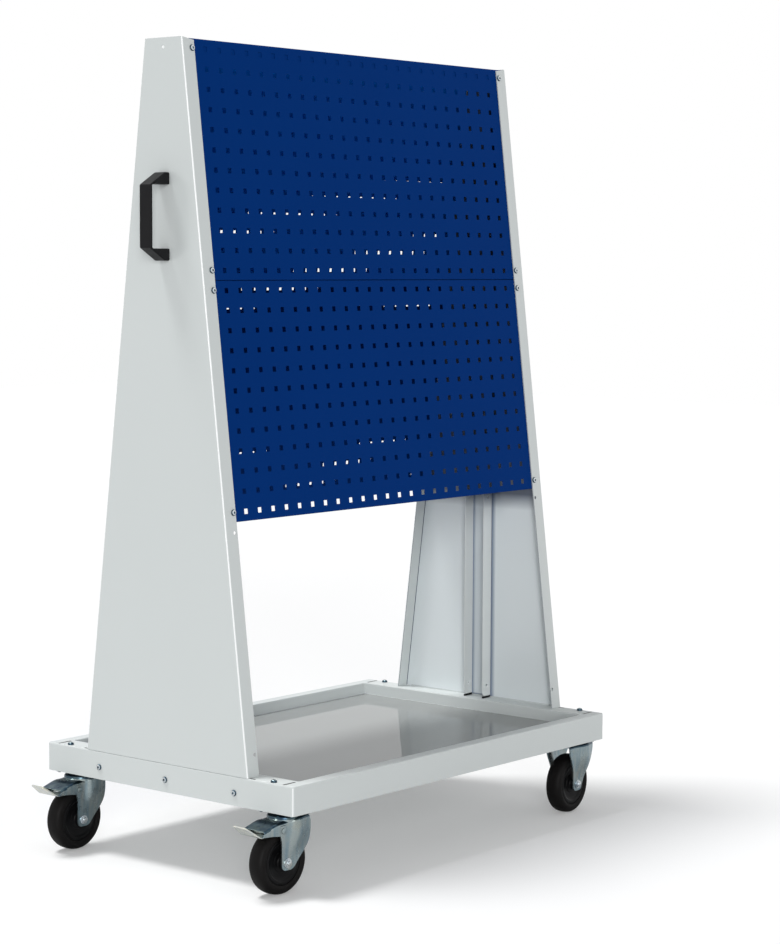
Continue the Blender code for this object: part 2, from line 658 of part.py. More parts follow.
def castor_wheel(tag, axle):
    """Plastic wheel centre, rubber tyre and the bolt that carries them in the fork."""
    half = HUB_LENGTH / 2
    rim_half = TYRE_WIDTH * TYRE_SHARES[0][1] / 2
    web = WEB_THICKNESS / 2
    bore = AXLE_RADIUS + HOLE_CLEARANCE
    rim = TYRE_BORE - FIT
    rim_in = rim - RIM_THICKNESS
    right = [(HUB_RADIUS, half), (HUB_RADIUS, web), (rim_in, web), (rim_in, rim_half),
             (rim, rim_half)]
    profile = [(bore, half)] + right + [(r, -z) for r, z in reversed(right)] + [(bore, -half)]
    name = f"wheel_centre_{tag}"
    spin(place(name, turned(profile, True), axle, (0, 0, 0), (QUARTER, 0, 0), PLASTIC), WHEEL_STEPS)
    deep = WHEEL_RADIUS - TYRE_BORE
    right = [(TYRE_BORE + deep * r, TYRE_WIDTH / 2 * z) for r, z in TYRE_SHARES]
    profile = right + [(r, -z) for r, z in reversed(right)]
    name = f"tyre_{tag}"
    spin(place(name, turned(profile, True), axle, (0, 0, 0), (QUARTER, 0, 0), RUBBER), WHEEL_STEPS)


def axle_bolt(tag, swivel):
    name = f"axle_bolt_{tag}"
    width = CHEEK_GAP + 2 * CHEEK
    grip = width / 2 + FIT
    bolt = place(name, rod(AXLE_RADIUS, 2 * grip + AXLE_HEAD_HEIGHT, PIN_STEPS), swivel,
                 (-TRAIL, 0, WHEEL_RADIUS), (QUARTER, 0, 0), ZINC)
    ends = [(0, 0, s * (grip + AXLE_HEAD_HEIGHT / 2)) for s in (-1, 1)]
    heads = place(name + "_heads", rod(AXLE_HEAD, AXLE_HEAD_HEIGHT, HEXAGON, ends), swivel,
                  (-TRAIL, 0, WHEEL_RADIUS), (QUARTER, 0, 0))
    return combine(bolt, heads, "UNION")


def brake_pedal(tag, hinge):
    """Pressed brake lever on its rivet: two sides, a sloping top with an upturned tread, and the pad."""
    name = f"brake_pedal_{tag}"
    rise = PEDAL_TOP - WHEEL_RADIUS
    low = WHEEL_RADIUS - RIVET_HEIGHT
    width = 2 * PEDAL_HALF_WIDTH
    top_line = [(RIVET_BACK - PEDAL_REACH * x, low + rise * z) for x, z in PEDAL_TOP_SHARES]
    rest = [(RIVET_BACK - PEDAL_REACH * x, low + rise * z) for x, z in PEDAL_REST_SHARES]
    lever = place(name, flat_outline(top_line + rest, width), hinge, (0, 0, 0), (QUARTER, 0, 0), ZINC)
    start, stop = top_line[0], top_line[-1]
    bottom = low - OVERRUN
    inner = [(start[0] + OVERRUN, start[1] - PEDAL_SHEET)]
    inner += [(x, z - PEDAL_SHEET) for x, z in top_line]
    inner += [(stop[0], bottom), (start[0] + OVERRUN, bottom)]
    hollow = flat_outline(inner, width - 2 * PEDAL_SHEET)
    combine(lever, place(name + "_hollow", hollow, hinge, (0, 0, 0), (QUARTER, 0, 0)))
    pad = place(name + "_pad", box((PAD_LENGTH, PAD_WIDTH, PAD_TOP - PAD_BOTTOM)), hinge,
                (RIVET_BACK - PAD_BACK, 0, (PAD_TOP + PAD_BOTTOM) / 2 - RIVET_HEIGHT))
    combine(lever, pad, "UNION")
    eye = place(name + "_eye", rod(RIVET_RADIUS + HOLE_CLEARANCE, 2 * width, PIN_STEPS), hinge,
                (0, 0, 0), (QUARTER, 0, 0))
    return combine(lever, eye)


def castors(trolley):
    for tag, (sx, sy, heading) in CASTORS.items():
        x, y = sx * CASTOR_X, sy * CASTOR_Y
        castor_plate(tag, trolley, x, y)
        swivel = empty(f"swivel_{tag}", trolley, (x, y, 0), (0, 0, math.radians(heading)))
        castor_fork(tag, swivel, tag in BRAKED)
        axle_bolt(tag, swivel)
        castor_wheel(tag, empty(f"axle_{tag}", swivel, (-TRAIL, 0, WHEEL_RADIUS)))
        if tag in BRAKED:
            brake_pedal(tag, empty(f"hinge_{tag}", swivel, (-TRAIL - RIVET_BACK, 0, RIVET_HEIGHT)))


clear_scene()
PARTS = new_collection("mobile_pegboard_trolley")
TOOLS = new_collection("cutters")
GREY = new_material("grey_powder_coat", (0.62, 0.65, 0.64), 0.42, 0.0)
BLUE = new_material("blue_powder_coat", (0.0, 0.028, 0.16), 0.38, 0.0)
ZINC = new_material("zinc", (0.42, 0.45, 0.46), 0.34, 0.9)
BLACK = new_material("black_plastic", (0.012, 0.012, 0.013), 0.45, 0.0)
PLASTIC = new_material("wheel_plastic", (0.02, 0.021, 0.023), 0.5, 0.0)
RUBBER = new_material("tyre_rubber", (0.015, 0.016, 0.017), 0.7, 0.0)

TROLLEY = empty("trolley", None, (SHIFT, 0, 0))
FACES = {
    "front": empty("front_face", TROLLEY, (0, -TOP_HALF_DEPTH, END_PANEL_TOP), (-TILT, 0, 0)),
    "rear": empty("rear_face", TROLLEY, (0, TOP_HALF_DEPTH, END_PANEL_TOP), (-TILT, 0, 2 * QUARTER)),
}
base_tray(TROLLEY)
for SIDE in (-1, 1):
    end_panel(SIDE, TROLLEY, FACES)
    channel(SIDE, TROLLEY)
panels(FACES)
fasteners(TROLLEY, FACES)
handle(TROLLEY)
castors(TROLLEY)
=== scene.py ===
# Mobile pegboard trolley: the detailed pieces, their materials, the light and the camera.
import math

import bmesh
import bpy
from mathutils import Euler, Matrix, Vector

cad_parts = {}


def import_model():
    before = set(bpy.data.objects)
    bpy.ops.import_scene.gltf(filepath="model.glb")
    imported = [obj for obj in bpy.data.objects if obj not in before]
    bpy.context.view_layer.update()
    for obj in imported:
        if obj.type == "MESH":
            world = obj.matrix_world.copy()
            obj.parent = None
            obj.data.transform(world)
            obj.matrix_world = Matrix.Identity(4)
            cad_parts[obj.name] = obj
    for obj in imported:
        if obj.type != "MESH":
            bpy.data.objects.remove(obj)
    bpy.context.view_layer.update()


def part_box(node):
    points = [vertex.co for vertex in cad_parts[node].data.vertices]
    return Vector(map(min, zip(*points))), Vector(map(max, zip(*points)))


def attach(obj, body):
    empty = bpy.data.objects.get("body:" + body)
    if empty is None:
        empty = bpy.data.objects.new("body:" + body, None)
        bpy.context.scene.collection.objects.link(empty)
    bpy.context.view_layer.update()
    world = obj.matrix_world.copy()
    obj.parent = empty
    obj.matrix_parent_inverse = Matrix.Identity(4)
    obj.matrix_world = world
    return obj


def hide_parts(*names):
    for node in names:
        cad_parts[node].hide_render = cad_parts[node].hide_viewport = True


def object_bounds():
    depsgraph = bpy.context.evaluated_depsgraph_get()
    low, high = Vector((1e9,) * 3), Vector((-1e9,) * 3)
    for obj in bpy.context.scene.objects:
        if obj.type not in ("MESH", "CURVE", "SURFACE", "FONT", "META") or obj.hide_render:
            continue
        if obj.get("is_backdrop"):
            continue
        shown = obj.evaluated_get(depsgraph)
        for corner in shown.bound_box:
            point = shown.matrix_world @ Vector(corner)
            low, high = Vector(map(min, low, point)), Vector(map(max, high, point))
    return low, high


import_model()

# Sheets and gaps, in metres like all sizes here
SHEET = 0.002
PANEL_SHEET = 0.0012
TREAD_SHEET = 0.0025
HOOD_SHEET = 0.0020
HEM_SHEET = 0.0014
FIT = 0.0003

# Tray
TRAY_TOP = 0.212
RAIL_BOTTOM = 0.156
FLOOR_TOP = TRAY_TOP - 0.025
END_FLANGE = 0.047
RIM_FLANGE = 0.028
WALL_CORNER, WALL_BEND = 0.006, 0.0028
LIP_CORNER, LIP_BEND, FLOOR_BEND = 0.0035, 0.0022, 0.0005
HEM_STOP = 0.11

# End panels and channels
END_PANEL_TOP = 1.594
TOP_HALF_DEPTH = 0.049
FOOT_HALF_DEPTH = 0.217
END_PANEL_FLANGE = 0.032
FLANGE_CHAMFER = 0.005
TONGUE_HALF_WIDTH, TONGUE_HEIGHT = 0.200, 0.049
CHANNEL_WIDTH = 0.053
CHANNEL_FLANGE = 0.030
CHANNEL_FOOT = 0.2165
CHANNEL_TOP = 1.550
CHANNEL_HOLES = (0.240, 0.660)

# Perforated panels
ROWS, COLUMNS = 12, 24
HOLE_PITCH = 0.038
HOLE_SIZES = {"front": 0.010, "rear": 0.0073}
FIRST_ROW = 0.0206
PANEL_GAP = 0.0016
PANEL_BEND, PANEL_RETURN = 0.0022, 0.012

# Screws: the radius of their holes, and their places along an axis or by the row of holes beside them
SCREW_HOLE = 0.0035
HEAD_RADIUS = 0.0062
RAIL_SCREWS, RAIL_SCREW_Z = (-0.182, 0, 0.182), TRAY_TOP - 0.0315
PANEL_SCREW_X, PANEL_SCREW_ROWS, SPARE_HOLE_ROWS = 0.475, (0, 11, 12, 23), (24, 35)
HANDLE_SCREWS, HANDLE_Z = (1.1875, 1.3305), 1.259
TOP_HOLE_Z, PLUG_RADIUS = END_PANEL_TOP - 0.018, 0.0033

# Castors: the swivel axis is their origin, and the rivets' place is along X and in height
TRAIL = 0.020
WHEEL_RADIUS = 0.0625
AXLE_RADIUS = 0.004
CHEEK_GAP, CHEEK = 0.049, 0.003
CHEEK_OUT = CHEEK_GAP / 2 + CHEEK
CROWN_RADIUS, CROWN_TOP, CROWN_BEND = 0.038, 0.1497, 0.0065
FLARE_LOW, FLARE_HIGH = 0.071, 0.125
RIVET = (-TRAIL - 0.012, 0.125)
HEX_STEPS = 36
# Each castor's heading off the X axis, in degrees
CASTORS = (("front_left", -3.0), ("rear_left", 0.0), ("front_right", 4.0), ("rear_right", -3.0))

# Floor, light and camera: colours, share of white, and the camera's place and angles in degrees
FLOOR_COLOUR, FLOOR_GLOW, FLOOR_HALF = (0.80, 0.80, 0.80, 1), 0.19, 14
WORLD_LIGHT, WORLD_SEEN = (0.38, 0.385, 0.39), (1.0, 1.0, 1.0)
IMAGE_WIDTH, FOCAL_PIXELS, SENSOR_WIDTH = 780, 2465.52, 36
CAMERA_PLACE = (-3.8294, -3.3159, 1.1742)
CAMERA_YAW, CAMERA_PITCH, CAMERA_ROLL = 50.37, 4.85, 0.28

QUARTER = math.pi / 2
ENDS = ((-1, "left"), (1, "right"))
CORNERS = ((-1, -1), (-1, 1), (1, -1), (1, 1))


def at(x, y, z):
    return Matrix.Translation((x, y, z))


def turn(x=0, y=0, z=0):
    """A rotation from its angles about the three axes."""
    return Euler((x, y, z)).to_matrix().to_4x4()


ALONG_Y = turn(x=QUARTER)
TRAY_LOW, TRAY_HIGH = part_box("base_tray")
MIDDLE_X = (TRAY_LOW.x + TRAY_HIGH.x) / 2
HALF_X = (TRAY_HIGH.x - TRAY_LOW.x) / 2
HALF_Y = (TRAY_HIGH.y - TRAY_LOW.y) / 2
INNER_X = HALF_X - SHEET - FIT
CORNER_BOLT_X, CORNER_BOLT_Y = HALF_X - 0.010, HALF_Y - 0.0565
TILT = math.atan((FOOT_HALF_DEPTH - TOP_HALF_DEPTH) / (END_PANEL_TOP - TRAY_TOP))
TROLLEY = at(MIDDLE_X, 0, 0)
# For each long side, which way its own X runs along the trolley, and the frame of its upper edge
FACES = {
    "front": (1, TROLLEY @ at(0, -TOP_HALF_DEPTH, END_PANEL_TOP) @ turn(x=-TILT)),
    "rear": (-1, TROLLEY @ at(0, TOP_HALF_DEPTH, END_PANEL_TOP) @ turn(x=-TILT, z=math.pi)),
}
# Slots in the tray's end flanges: size along X and Y, inset from the tray's end, and place along Y
SLOTS = ((0.034, 0.0060, 0.0210, HALF_Y - RIM_FLANGE),
         (0.026, 0.0040, 0.0183, CHANNEL_WIDTH / 2 - 0.001),
         (0.006, 0.0150, 0.0070, FOOT_HALF_DEPTH + 0.0065))


# Mesh tools
def quarter(steps, first=1):
    """Cosine and sine at equal steps of a quarter turn."""
    return [(math.cos(QUARTER * k / steps), math.sin(QUARTER * k / steps)) for k in range(first, steps + 1)]


def smooth(value, low, high):
    """0 below low, 1 above high and a smooth rise between."""
    share = min(1.0, max(0.0, (value - low) / (high - low)))
    return share * share * (3 - 2 * share)


def between(levels, z):
    """Straight interpolation through (z, value) pairs that rise in z."""
    for (z0, a), (z1, b) in zip(levels, levels[1:]):
        if z <= z1:
            share = max(0.0, (z - z0) / (z1 - z0))
            return a + (b - a) * share
    return levels[-1][1]


def rounded(points, radius, steps, closed=False):
    """The polyline with arcs at its corners. radius is one number, or one for each point."""
    made = []
    last = len(points) - 1
    for k, point in enumerate(points):
        r = radius[k] if isinstance(radius, list) else radius
        if r <= 0 or (not closed and k in (0, last)):
            made.append(tuple(point))
            continue
        corner = Vector(point)
        a = (Vector(points[k - 1]) - corner).normalized()
        b = (Vector(points[(k + 1) % len(points)]) - corner).normalized()
        half = a.angle(b) / 2
        centre = corner + (a + b).normalized() * (r / math.sin(half))
        start = corner + a * (r / math.tan(half)) - centre
        end = corner + b * (r / math.tan(half)) - centre
        total = start.angle(end)
        for i in range(steps + 1):
            t = i / steps
            spoke = (start * math.sin((1 - t) * total) + end * math.sin(t * total)) / math.sin(total)
            made.append(tuple(centre + spoke))
    return made


def rectangle(half_x, half_y, radius, steps):
    """A rounded rectangle about the origin."""
    points = [(half_x, half_y), (-half_x, half_y), (-half_x, -half_y), (half_x, -half_y)]
    return rounded(points, radius, steps, True)


def loft(rows, closed=False):
    """A grid of faces through rows of points; closed joins each row's last point to its first."""
    bm = bmesh.new()
    grid = [[bm.verts.new(p) for p in row] for row in rows]
    count = len(rows[0])
    for a, b in zip(grid, grid[1:]):
        for k in range(count if closed else count - 1):
            n = (k + 1) % count
            bm.faces.new((a[k], a[n], b[n], b[k]))
    return bm


def turned(profile, steps, closed=False):
    """A piece about local Z from (radius, height) points, or from a function of the angle that gives them.

    closed makes it a ring.
    """
    rows = []
    for k in range(steps + 1):
        angle = 2 * math.pi * k / steps
        spoke = profile(angle) if callable(profile) else profile
        rows.append([(r * math.cos(angle), r * math.sin(angle), z) for r, z in spoke])
    bm = loft(rows, closed)
    bmesh.ops.remove_doubles(bm, verts=bm.verts, dist=0.000002)
    return bm


def hexagon(apothem, angle):
    """The distance from a hexagon's axis to its edge at an angle."""
    return apothem / math.cos((angle + math.pi / 6) % (math.pi / 3) - math.pi / 6)


def extruded(points, low, high):
    """A closed outline (x, y) drawn out from z = low to z = high, with flat ends."""
    bm = loft([[(x, y, z) for x, y in points] for z in (low, high)], True)
    bmesh.ops.holes_fill(bm, edges=bm.edges, sides=0)
    return bm


def block(size, centre):
    bm = bmesh.new()
    made = bmesh.ops.create_cube(bm, size=1)["verts"]
    bmesh.ops.scale(bm, vec=size, verts=made)
    bmesh.ops.translate(bm, vec=centre, verts=made)
    return bm


def pin(radius, centre, axis, length, steps=24):
    """A cylinder along one of the axes X, Y and Z."""
    lean = {"X": turn(y=QUARTER), "Y": ALONG_Y, "Z": turn()}[axis]
    bm = bmesh.new()
    bmesh.ops.create_cone(bm, cap_ends=True, segments=steps, radius1=radius, radius2=radius, depth=length,
                          matrix=Matrix.Translation(centre) @ lean)
    return bm


def joined(*parts):
    """Several meshes as one, each with an optional matrix: bm or (bm, matrix)."""
    whole = bpy.data.meshes.new("joined")
    made = bmesh.new()
    for part in parts:
        bm, matrix = part if isinstance(part, tuple) else (part, None)
        if matrix is not None:
            bm.transform(matrix)
        bmesh.ops.recalc_face_normals(bm, faces=bm.faces)
        bm.to_mesh(whole)
        bm.free()
        made.from_mesh(whole)
    bpy.data.meshes.remove(whole)
    return made


def temporary(bm):
    """An object that holds the mesh while modifiers work on it."""
    mesh = bpy.data.meshes.new("tool")
    bm.to_mesh(mesh)
    bm.free()
    obj = bpy.data.objects.new("tool", mesh)
    bpy.context.scene.collection.objects.link(obj)
    return obj


def evaluated(obj, *tools):
    """The object's mesh after its modifiers, with the object and the tools removed."""
    bpy.context.view_layer.update()
    mesh = bpy.data.meshes.new_from_object(obj.evaluated_get(bpy.context.evaluated_depsgraph_get()))
    for done in (obj, *tools):
        data = done.data
        bpy.data.objects.remove(done)
        bpy.data.meshes.remove(data)
    return mesh


def growth(bm, facing, counts=lambda face: True):
    """The offset at which a sheet grows away from a direction, told by its largest face that counts."""
    bmesh.ops.recalc_face_normals(bm, faces=bm.faces)
    probe = max((face for face in bm.faces if counts(face)), key=lambda face: face.calc_area())
    return -1 if probe.normal.dot(Vector(facing)) > 0 else 1


def shaped(bm, sheet=0.0, offset=0, cuts=(), edge=0.0, edge_steps=2, angle=30):
    """The mesh with its sheet thickness, its cuts and its rounded edges, as a new bmesh."""
    obj = temporary(bm)
    tools = []
    if sheet:
        mod = obj.modifiers.new("sheet", "SOLIDIFY")
        mod.thickness = sheet
        mod.offset = offset
        mod.use_even_offset = True
    for cut in cuts:
        bmesh.ops.recalc_face_normals(cut, faces=cut.faces)
        tools.append(temporary(cut))
        mod = obj.modifiers.new("cut", "BOOLEAN")
        mod.object = tools[-1]
        mod.solver = "EXACT"
    if edge:
        mod = obj.modifiers.new("edge", "BEVEL")
        mod.width = edge
        mod.segments = edge_steps
        mod.limit_method = "ANGLE"
        mod.angle_limit = math.radians(angle)
        mod.use_clamp_overlap = True
        mod.miter_outer = "MITER_ARC"
    mesh = evaluated(obj, *tools)
    made = bmesh.new()
    made.from_mesh(mesh)
    bpy.data.meshes.remove(mesh)
    return made


def smoothed(bm, name, sharp):
    """The mesh with smooth bends and flat sheets: normals follow the larger faces."""
    obj = temporary(bm)
    obj.data.shade_smooth()
    obj.data.set_sharp_from_angle(angle=math.radians(sharp))
    mod = obj.modifiers.new("normals", "WEIGHTED_NORMAL")
    mod.keep_sharp = True
    mod.weight = 100
    mesh = evaluated(obj)
    mesh.name = name
    return mesh


def seat(name, mesh, body, node, matrix=Matrix()):
    """An object that stands for a CAD node and rides on a body."""
    obj = bpy.data.objects.new(name, mesh)
    bpy.context.scene.collection.objects.link(obj)
    obj.matrix_world = matrix
    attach(obj, body)
    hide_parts(node)
    return obj


def piece(name, bm, material, body, node, matrix, sharp=32):
    """A finished piece, drawn in the frame that the matrix gives."""
    bm.transform(matrix)
    bmesh.ops.recalc_face_normals(bm, faces=bm.faces)
    mesh = smoothed(bm, name, sharp)
    mesh.materials.append(material)
    return seat(name, mesh, body, node)


def repaint(obj, material, test):
    """Give the faces that pass the test a further material."""
    obj.data.materials.append(material)
    for face in obj.data.polygons:
        if test(face):
            face.material_index = len(obj.data.materials) - 1


def upright_fold(face, share):
    """True on the middle of a rounded upright corner; share is how even its two side directions are."""
    small, large = sorted((abs(face.normal.x), abs(face.normal.y)))
    return abs(face.normal.z) < 0.3 and small > share * large and face.area > 0.00002


# Material tools
class Nodes:
    """A node tree: add() makes a node; its keyword values are set or linked by socket name or as i0, i1."""

    def __init__(self, tree):
        self.tree = tree

    def add(self, kind, settings=None, **values):
        made = self.tree.nodes.new(kind)
        for key, value in (settings or {}).items():
            setattr(made, key, value)
        for key, value in values.items():
            self.put(made, key.replace("_", " "), value)
        return made

    def put(self, target, key, value):
        socket = target.inputs[int(key[1:])] if key[0] == "i" and key[1:].isdigit() else target.inputs[key]
        if isinstance(value, bpy.types.NodeSocket):
            self.tree.links.new(value, socket)
        else:
            socket.default_value = value

    def mix(self, share, first, second):
        made = self.add("ShaderNodeMix", {"data_type": "RGBA"})
        for k, value in ((0, share), (6, first), (7, second)):
            self.put(made, f"i{k}", (*value, 1.0) if isinstance(value, tuple) else value)
        return made.outputs[2]


class Finish(Nodes):
    """A material whose patterns follow the piece's own coordinates."""

    def __init__(self, name):
        self.material = bpy.data.materials.new(name)
        self.material.use_nodes = True
        super().__init__(self.material.node_tree)
        self.shader = self.tree.nodes["Principled BSDF"]
        self.place = self.add("ShaderNodeTexCoord").outputs["Object"]

    def noise(self, scale, detail=2.0, roughness=0.5, vector=None):
        return self.add("ShaderNodeTexNoise", Scale=scale, Detail=detail, Roughness=roughness,
                        Vector=vector or self.place).outputs["Fac"]

    def spread(self, value, low, high, out_low, out_high):
        """Map a value from one range to another, with clamped ends."""
        made = self.add("ShaderNodeMapRange", Value=value)
        for k, number in enumerate((low, high, out_low, out_high), 1):
            made.inputs[k].default_value = number
        return made.outputs["Result"]

    def moved(self, operation, amount):
        """The place after an operation with a fixed vector."""
        return self.add("ShaderNodeVectorMath", {"operation": operation}, i0=self.place, i1=amount).outputs[0]

    def bump(self, height, strength, distance, normal=None):
        made = self.add("ShaderNodeBump", Height=height, Strength=strength, Distance=distance)
        if normal:
            self.put(made, "Normal", normal)
        return made.outputs["Normal"]

    def finish(self, **values):
        for key, value in values.items():
            self.put(self.shader, key.replace("_", " "), value)
        return self.material


# Heights between which the paint falls to a painted shade behind the perforated panels, and the colours
# of that painted shade and of the painted shade along upright folds
BEHIND_PANELS = (0.635, 0.670)
PANEL_SHADE = (0.02, 0.04, 0.09)
GROOVE_SHADE = (0.13, 0.18, 0.28)


def powder_coat(name, colour, tint, roughness=0.19, peel=0.04, specular=0.5, gloss=0.0, painted_darkening=None):
    """Baked powder paint: an even colour with faint clouding, and the orange-peel ripple of the coat.

    The last argument is given for paint inside the end panels and channels, and adds a painted shade behind
    the perforated panels. It is the pair of distances from the middle plane, dark to clear, for a painted
    shade along upright folds, or () for none.
    """
    f = Finish(name)
    cloud = f.spread(f.noise(3.0, 3.0), 0.35, 0.65, 0.0, 1.0)
    fleck = f.spread(f.noise(700.0, 1.0), 0.30, 0.70, 0.0, 0.35)
    base = f.mix(fleck, f.mix(cloud, colour, tint), tint)
    if painted_darkening is not None:
        split = f.add("ShaderNodeSeparateXYZ", Vector=f.place)
        height = split.outputs["Z"]
        across = f.add("ShaderNodeMath", {"operation": "ABSOLUTE"}, i0=split.outputs["Y"]).outputs[0]
        if painted_darkening:
            # Painted shade along the upright folds
            base = f.mix(f.spread(across, *painted_darkening, 0.80, 0.0), base, GROOVE_SHADE)
        # Painted shade behind the perforated panels, darker above these heights
        base = f.mix(f.spread(height, *BEHIND_PANELS, 0.0, 0.90), base, PANEL_SHADE)
    rough = f.spread(f.noise(14.0, 4.0), 0.3, 0.7, roughness - 0.01, roughness + 0.015)
    f.finish(Base_Color=base, Roughness=rough, Specular_IOR_Level=specular)
    f.finish(Coat_Weight=gloss, Coat_Roughness=0.02)
    if peel:
        ripple = f.bump(f.noise(260.0, 2.0, 0.45), peel, 0.0004)
        f.finish(Normal=f.bump(f.noise(1400.0, 1.0), peel * 0.6, 0.00015, ripple))
    return f.material


def zinc_plate(name, pale, blue, straw, roughness):
    """Bright zinc with its passivation: bluish and straw-coloured blotches over grey metal."""
    f = Finish(name)
    streaks = f.noise(1.0, 1.5, 0.4, f.moved("MULTIPLY", (90.0, 90.0, 14.0)))
    blotch = f.spread(streaks, 0.34, 0.66, 0.0, 1.0)
    warm = f.spread(f.noise(40.0, 2.0, 0.5, f.moved("ADD", (3.1, 1.7, 0.4))), 0.54, 0.74, 0.0, 0.4)
    base = f.mix(warm, f.mix(blotch, pale, blue), straw)
    rough = f.spread(f.noise(90.0, 3.0, 0.5), 0.3, 0.7, roughness - 0.03, roughness + 0.04)
    brushed = f.bump(f.noise(900.0, 2.0), 0.02, 0.0002)
    return f.finish(Base_Color=base, Metallic=0.92, Roughness=rough, Normal=brushed)


def moulded(name, colour, tint, roughness, grain_scale, grain):
    """Moulded plastic or rubber: a leather-like grain, faint flow marks and slightly dull patches."""
    f = Finish(name)
    flow = f.spread(f.noise(30.0, 3.0), 0.3, 0.7, 0.0, 1.0)
    leather = f.add("ShaderNodeTexVoronoi", {"feature": "SMOOTH_F1"}, Scale=grain_scale, Vector=f.place)
    cells = f.bump(leather.outputs["Distance"], grain, 0.0003)
    rough = f.spread(f.noise(60.0, 3.0), 0.3, 0.7, roughness - 0.05, roughness + 0.07)
    fine = f.bump(f.noise(grain_scale * 1.7, 2.0), grain * 0.5, 0.0002, cells)
    f.finish(Base_Color=f.mix(flow, colour, tint), Roughness=rough, Normal=fine)
    return f.finish(Specular_IOR_Level=0.12)


GREY = powder_coat("grey_powder_coat", (0.605, 0.640, 0.636), (0.597, 0.632, 0.628))
# Painted light and shade: a lighter copy of the grey paint for the end panels' inner faces, which lie in
# shade, darkened behind the perforated panels and along the folds
LIT_AND_SHADED_INNER_GREY = powder_coat("inner_lit_and_shaded_coat", (0.735, 0.785, 0.800), (0.725, 0.775, 0.790),
                         painted_darkening=(0.0285, 0.0375))
# Painted light and shade: lighter, bluish copies of the grey paint for the channels' web and flanges, which
# lie in shade, darkened behind the perforated panels and, on the web, along the folds
LIT_AND_SHADED_CHANNEL_WEB_GREY = powder_coat("channel_web_lit_and_shaded_coat", (0.640, 0.690, 0.720), (0.630, 0.680, 0.710),
                           painted_darkening=(0.0230, 0.0165))
LIT_AND_SHADED_CHANNEL_FLANGE_GREY = powder_coat("channel_flange_lit_and_shaded_coat", (0.700, 0.730, 0.725), (0.690, 0.720, 0.716), 0.22,
                          painted_darkening=())
# Painted highlight: near-white paint on the middle of rounded upright folds and on the top hole's plug
PAINTED_HIGHLIGHT_GREY = powder_coat("fold_painted_highlight_coat", (0.900, 0.920, 0.920), (0.880, 0.900, 0.900), 0.20, 0.02)
# Painted shade: dark paint in the end panels' inner folds
PAINTED_FOLD_SHADE_GREY = powder_coat("fold_painted_shade_coat", (0.120, 0.145, 0.190), (0.110, 0.135, 0.180), 0.30, 0.02, 0.3)
# Painted light: a lighter copy of the grey paint for the tray's top flanges, which lie in shade
LIT_RIM_GREY = powder_coat("rim_painted_light_coat", (0.730, 0.765, 0.755), (0.720, 0.755, 0.745), 0.45, 0.04, 0.08)
TRAY_GREY = powder_coat("tray_floor_coat", (0.370, 0.385, 0.378), (0.362, 0.377, 0.370), 0.30, 0.0, 0.0, 0.60)
BLUE = powder_coat("blue_powder_coat", (0.0, 0.0290, 0.1700), (0.0, 0.0275, 0.1620), 0.42, 0.06, 0.02)
# Painted light: a lighter copy of the blue paint for the perforated panels' inner sides, which lie in shade
LIT_INNER_BLUE = powder_coat("inner_blue_painted_light_coat", (0.0, 0.1250, 0.5200), (0.0, 0.1200, 0.5100), 0.50, 0.06, 0.02)
ZINC = zinc_plate("zinc", (0.32, 0.37, 0.37), (0.21, 0.29, 0.33), (0.36, 0.37, 0.31), 0.28)
# Painted shade and reflection: near-black zinc for screw rims and sockets, the faces under the castor plates
# and the upward faces of the forks and levers under the tray
PAINTED_SHADE_ZINC = zinc_plate("painted_shade_zinc", (0.07, 0.11, 0.13), (0.02, 0.045, 0.075), (0.10, 0.13, 0.08), 0.30)
TREAD_ZINC = zinc_plate("tread_zinc", (0.70, 0.70, 0.63), (0.54, 0.58, 0.58), (0.66, 0.65, 0.48), 0.24)
BRIGHT = zinc_plate("bright_zinc", (0.66, 0.69, 0.70), (0.48, 0.54, 0.59), (0.62, 0.60, 0.50), 0.22)
BLACK = moulded("handle_plastic", (0.006, 0.006, 0.007), (0.009, 0.009, 0.010), 0.42, 1500.0, 0.12)
PLASTIC = moulded("wheel_plastic", (0.003, 0.003, 0.0035), (0.005, 0.005, 0.0055), 0.36, 1100.0, 0.04)
RUBBER = moulded("tyre_rubber", (0.0035, 0.003, 0.003), (0.0055, 0.005, 0.005), 0.55, 900.0, 0.05)


def painted(name, bm, node, material=GREY):
    """A piece of grey painted sheet on the trolley's own body."""
    return piece(name, bm, material, "trolley", node, TROLLEY)


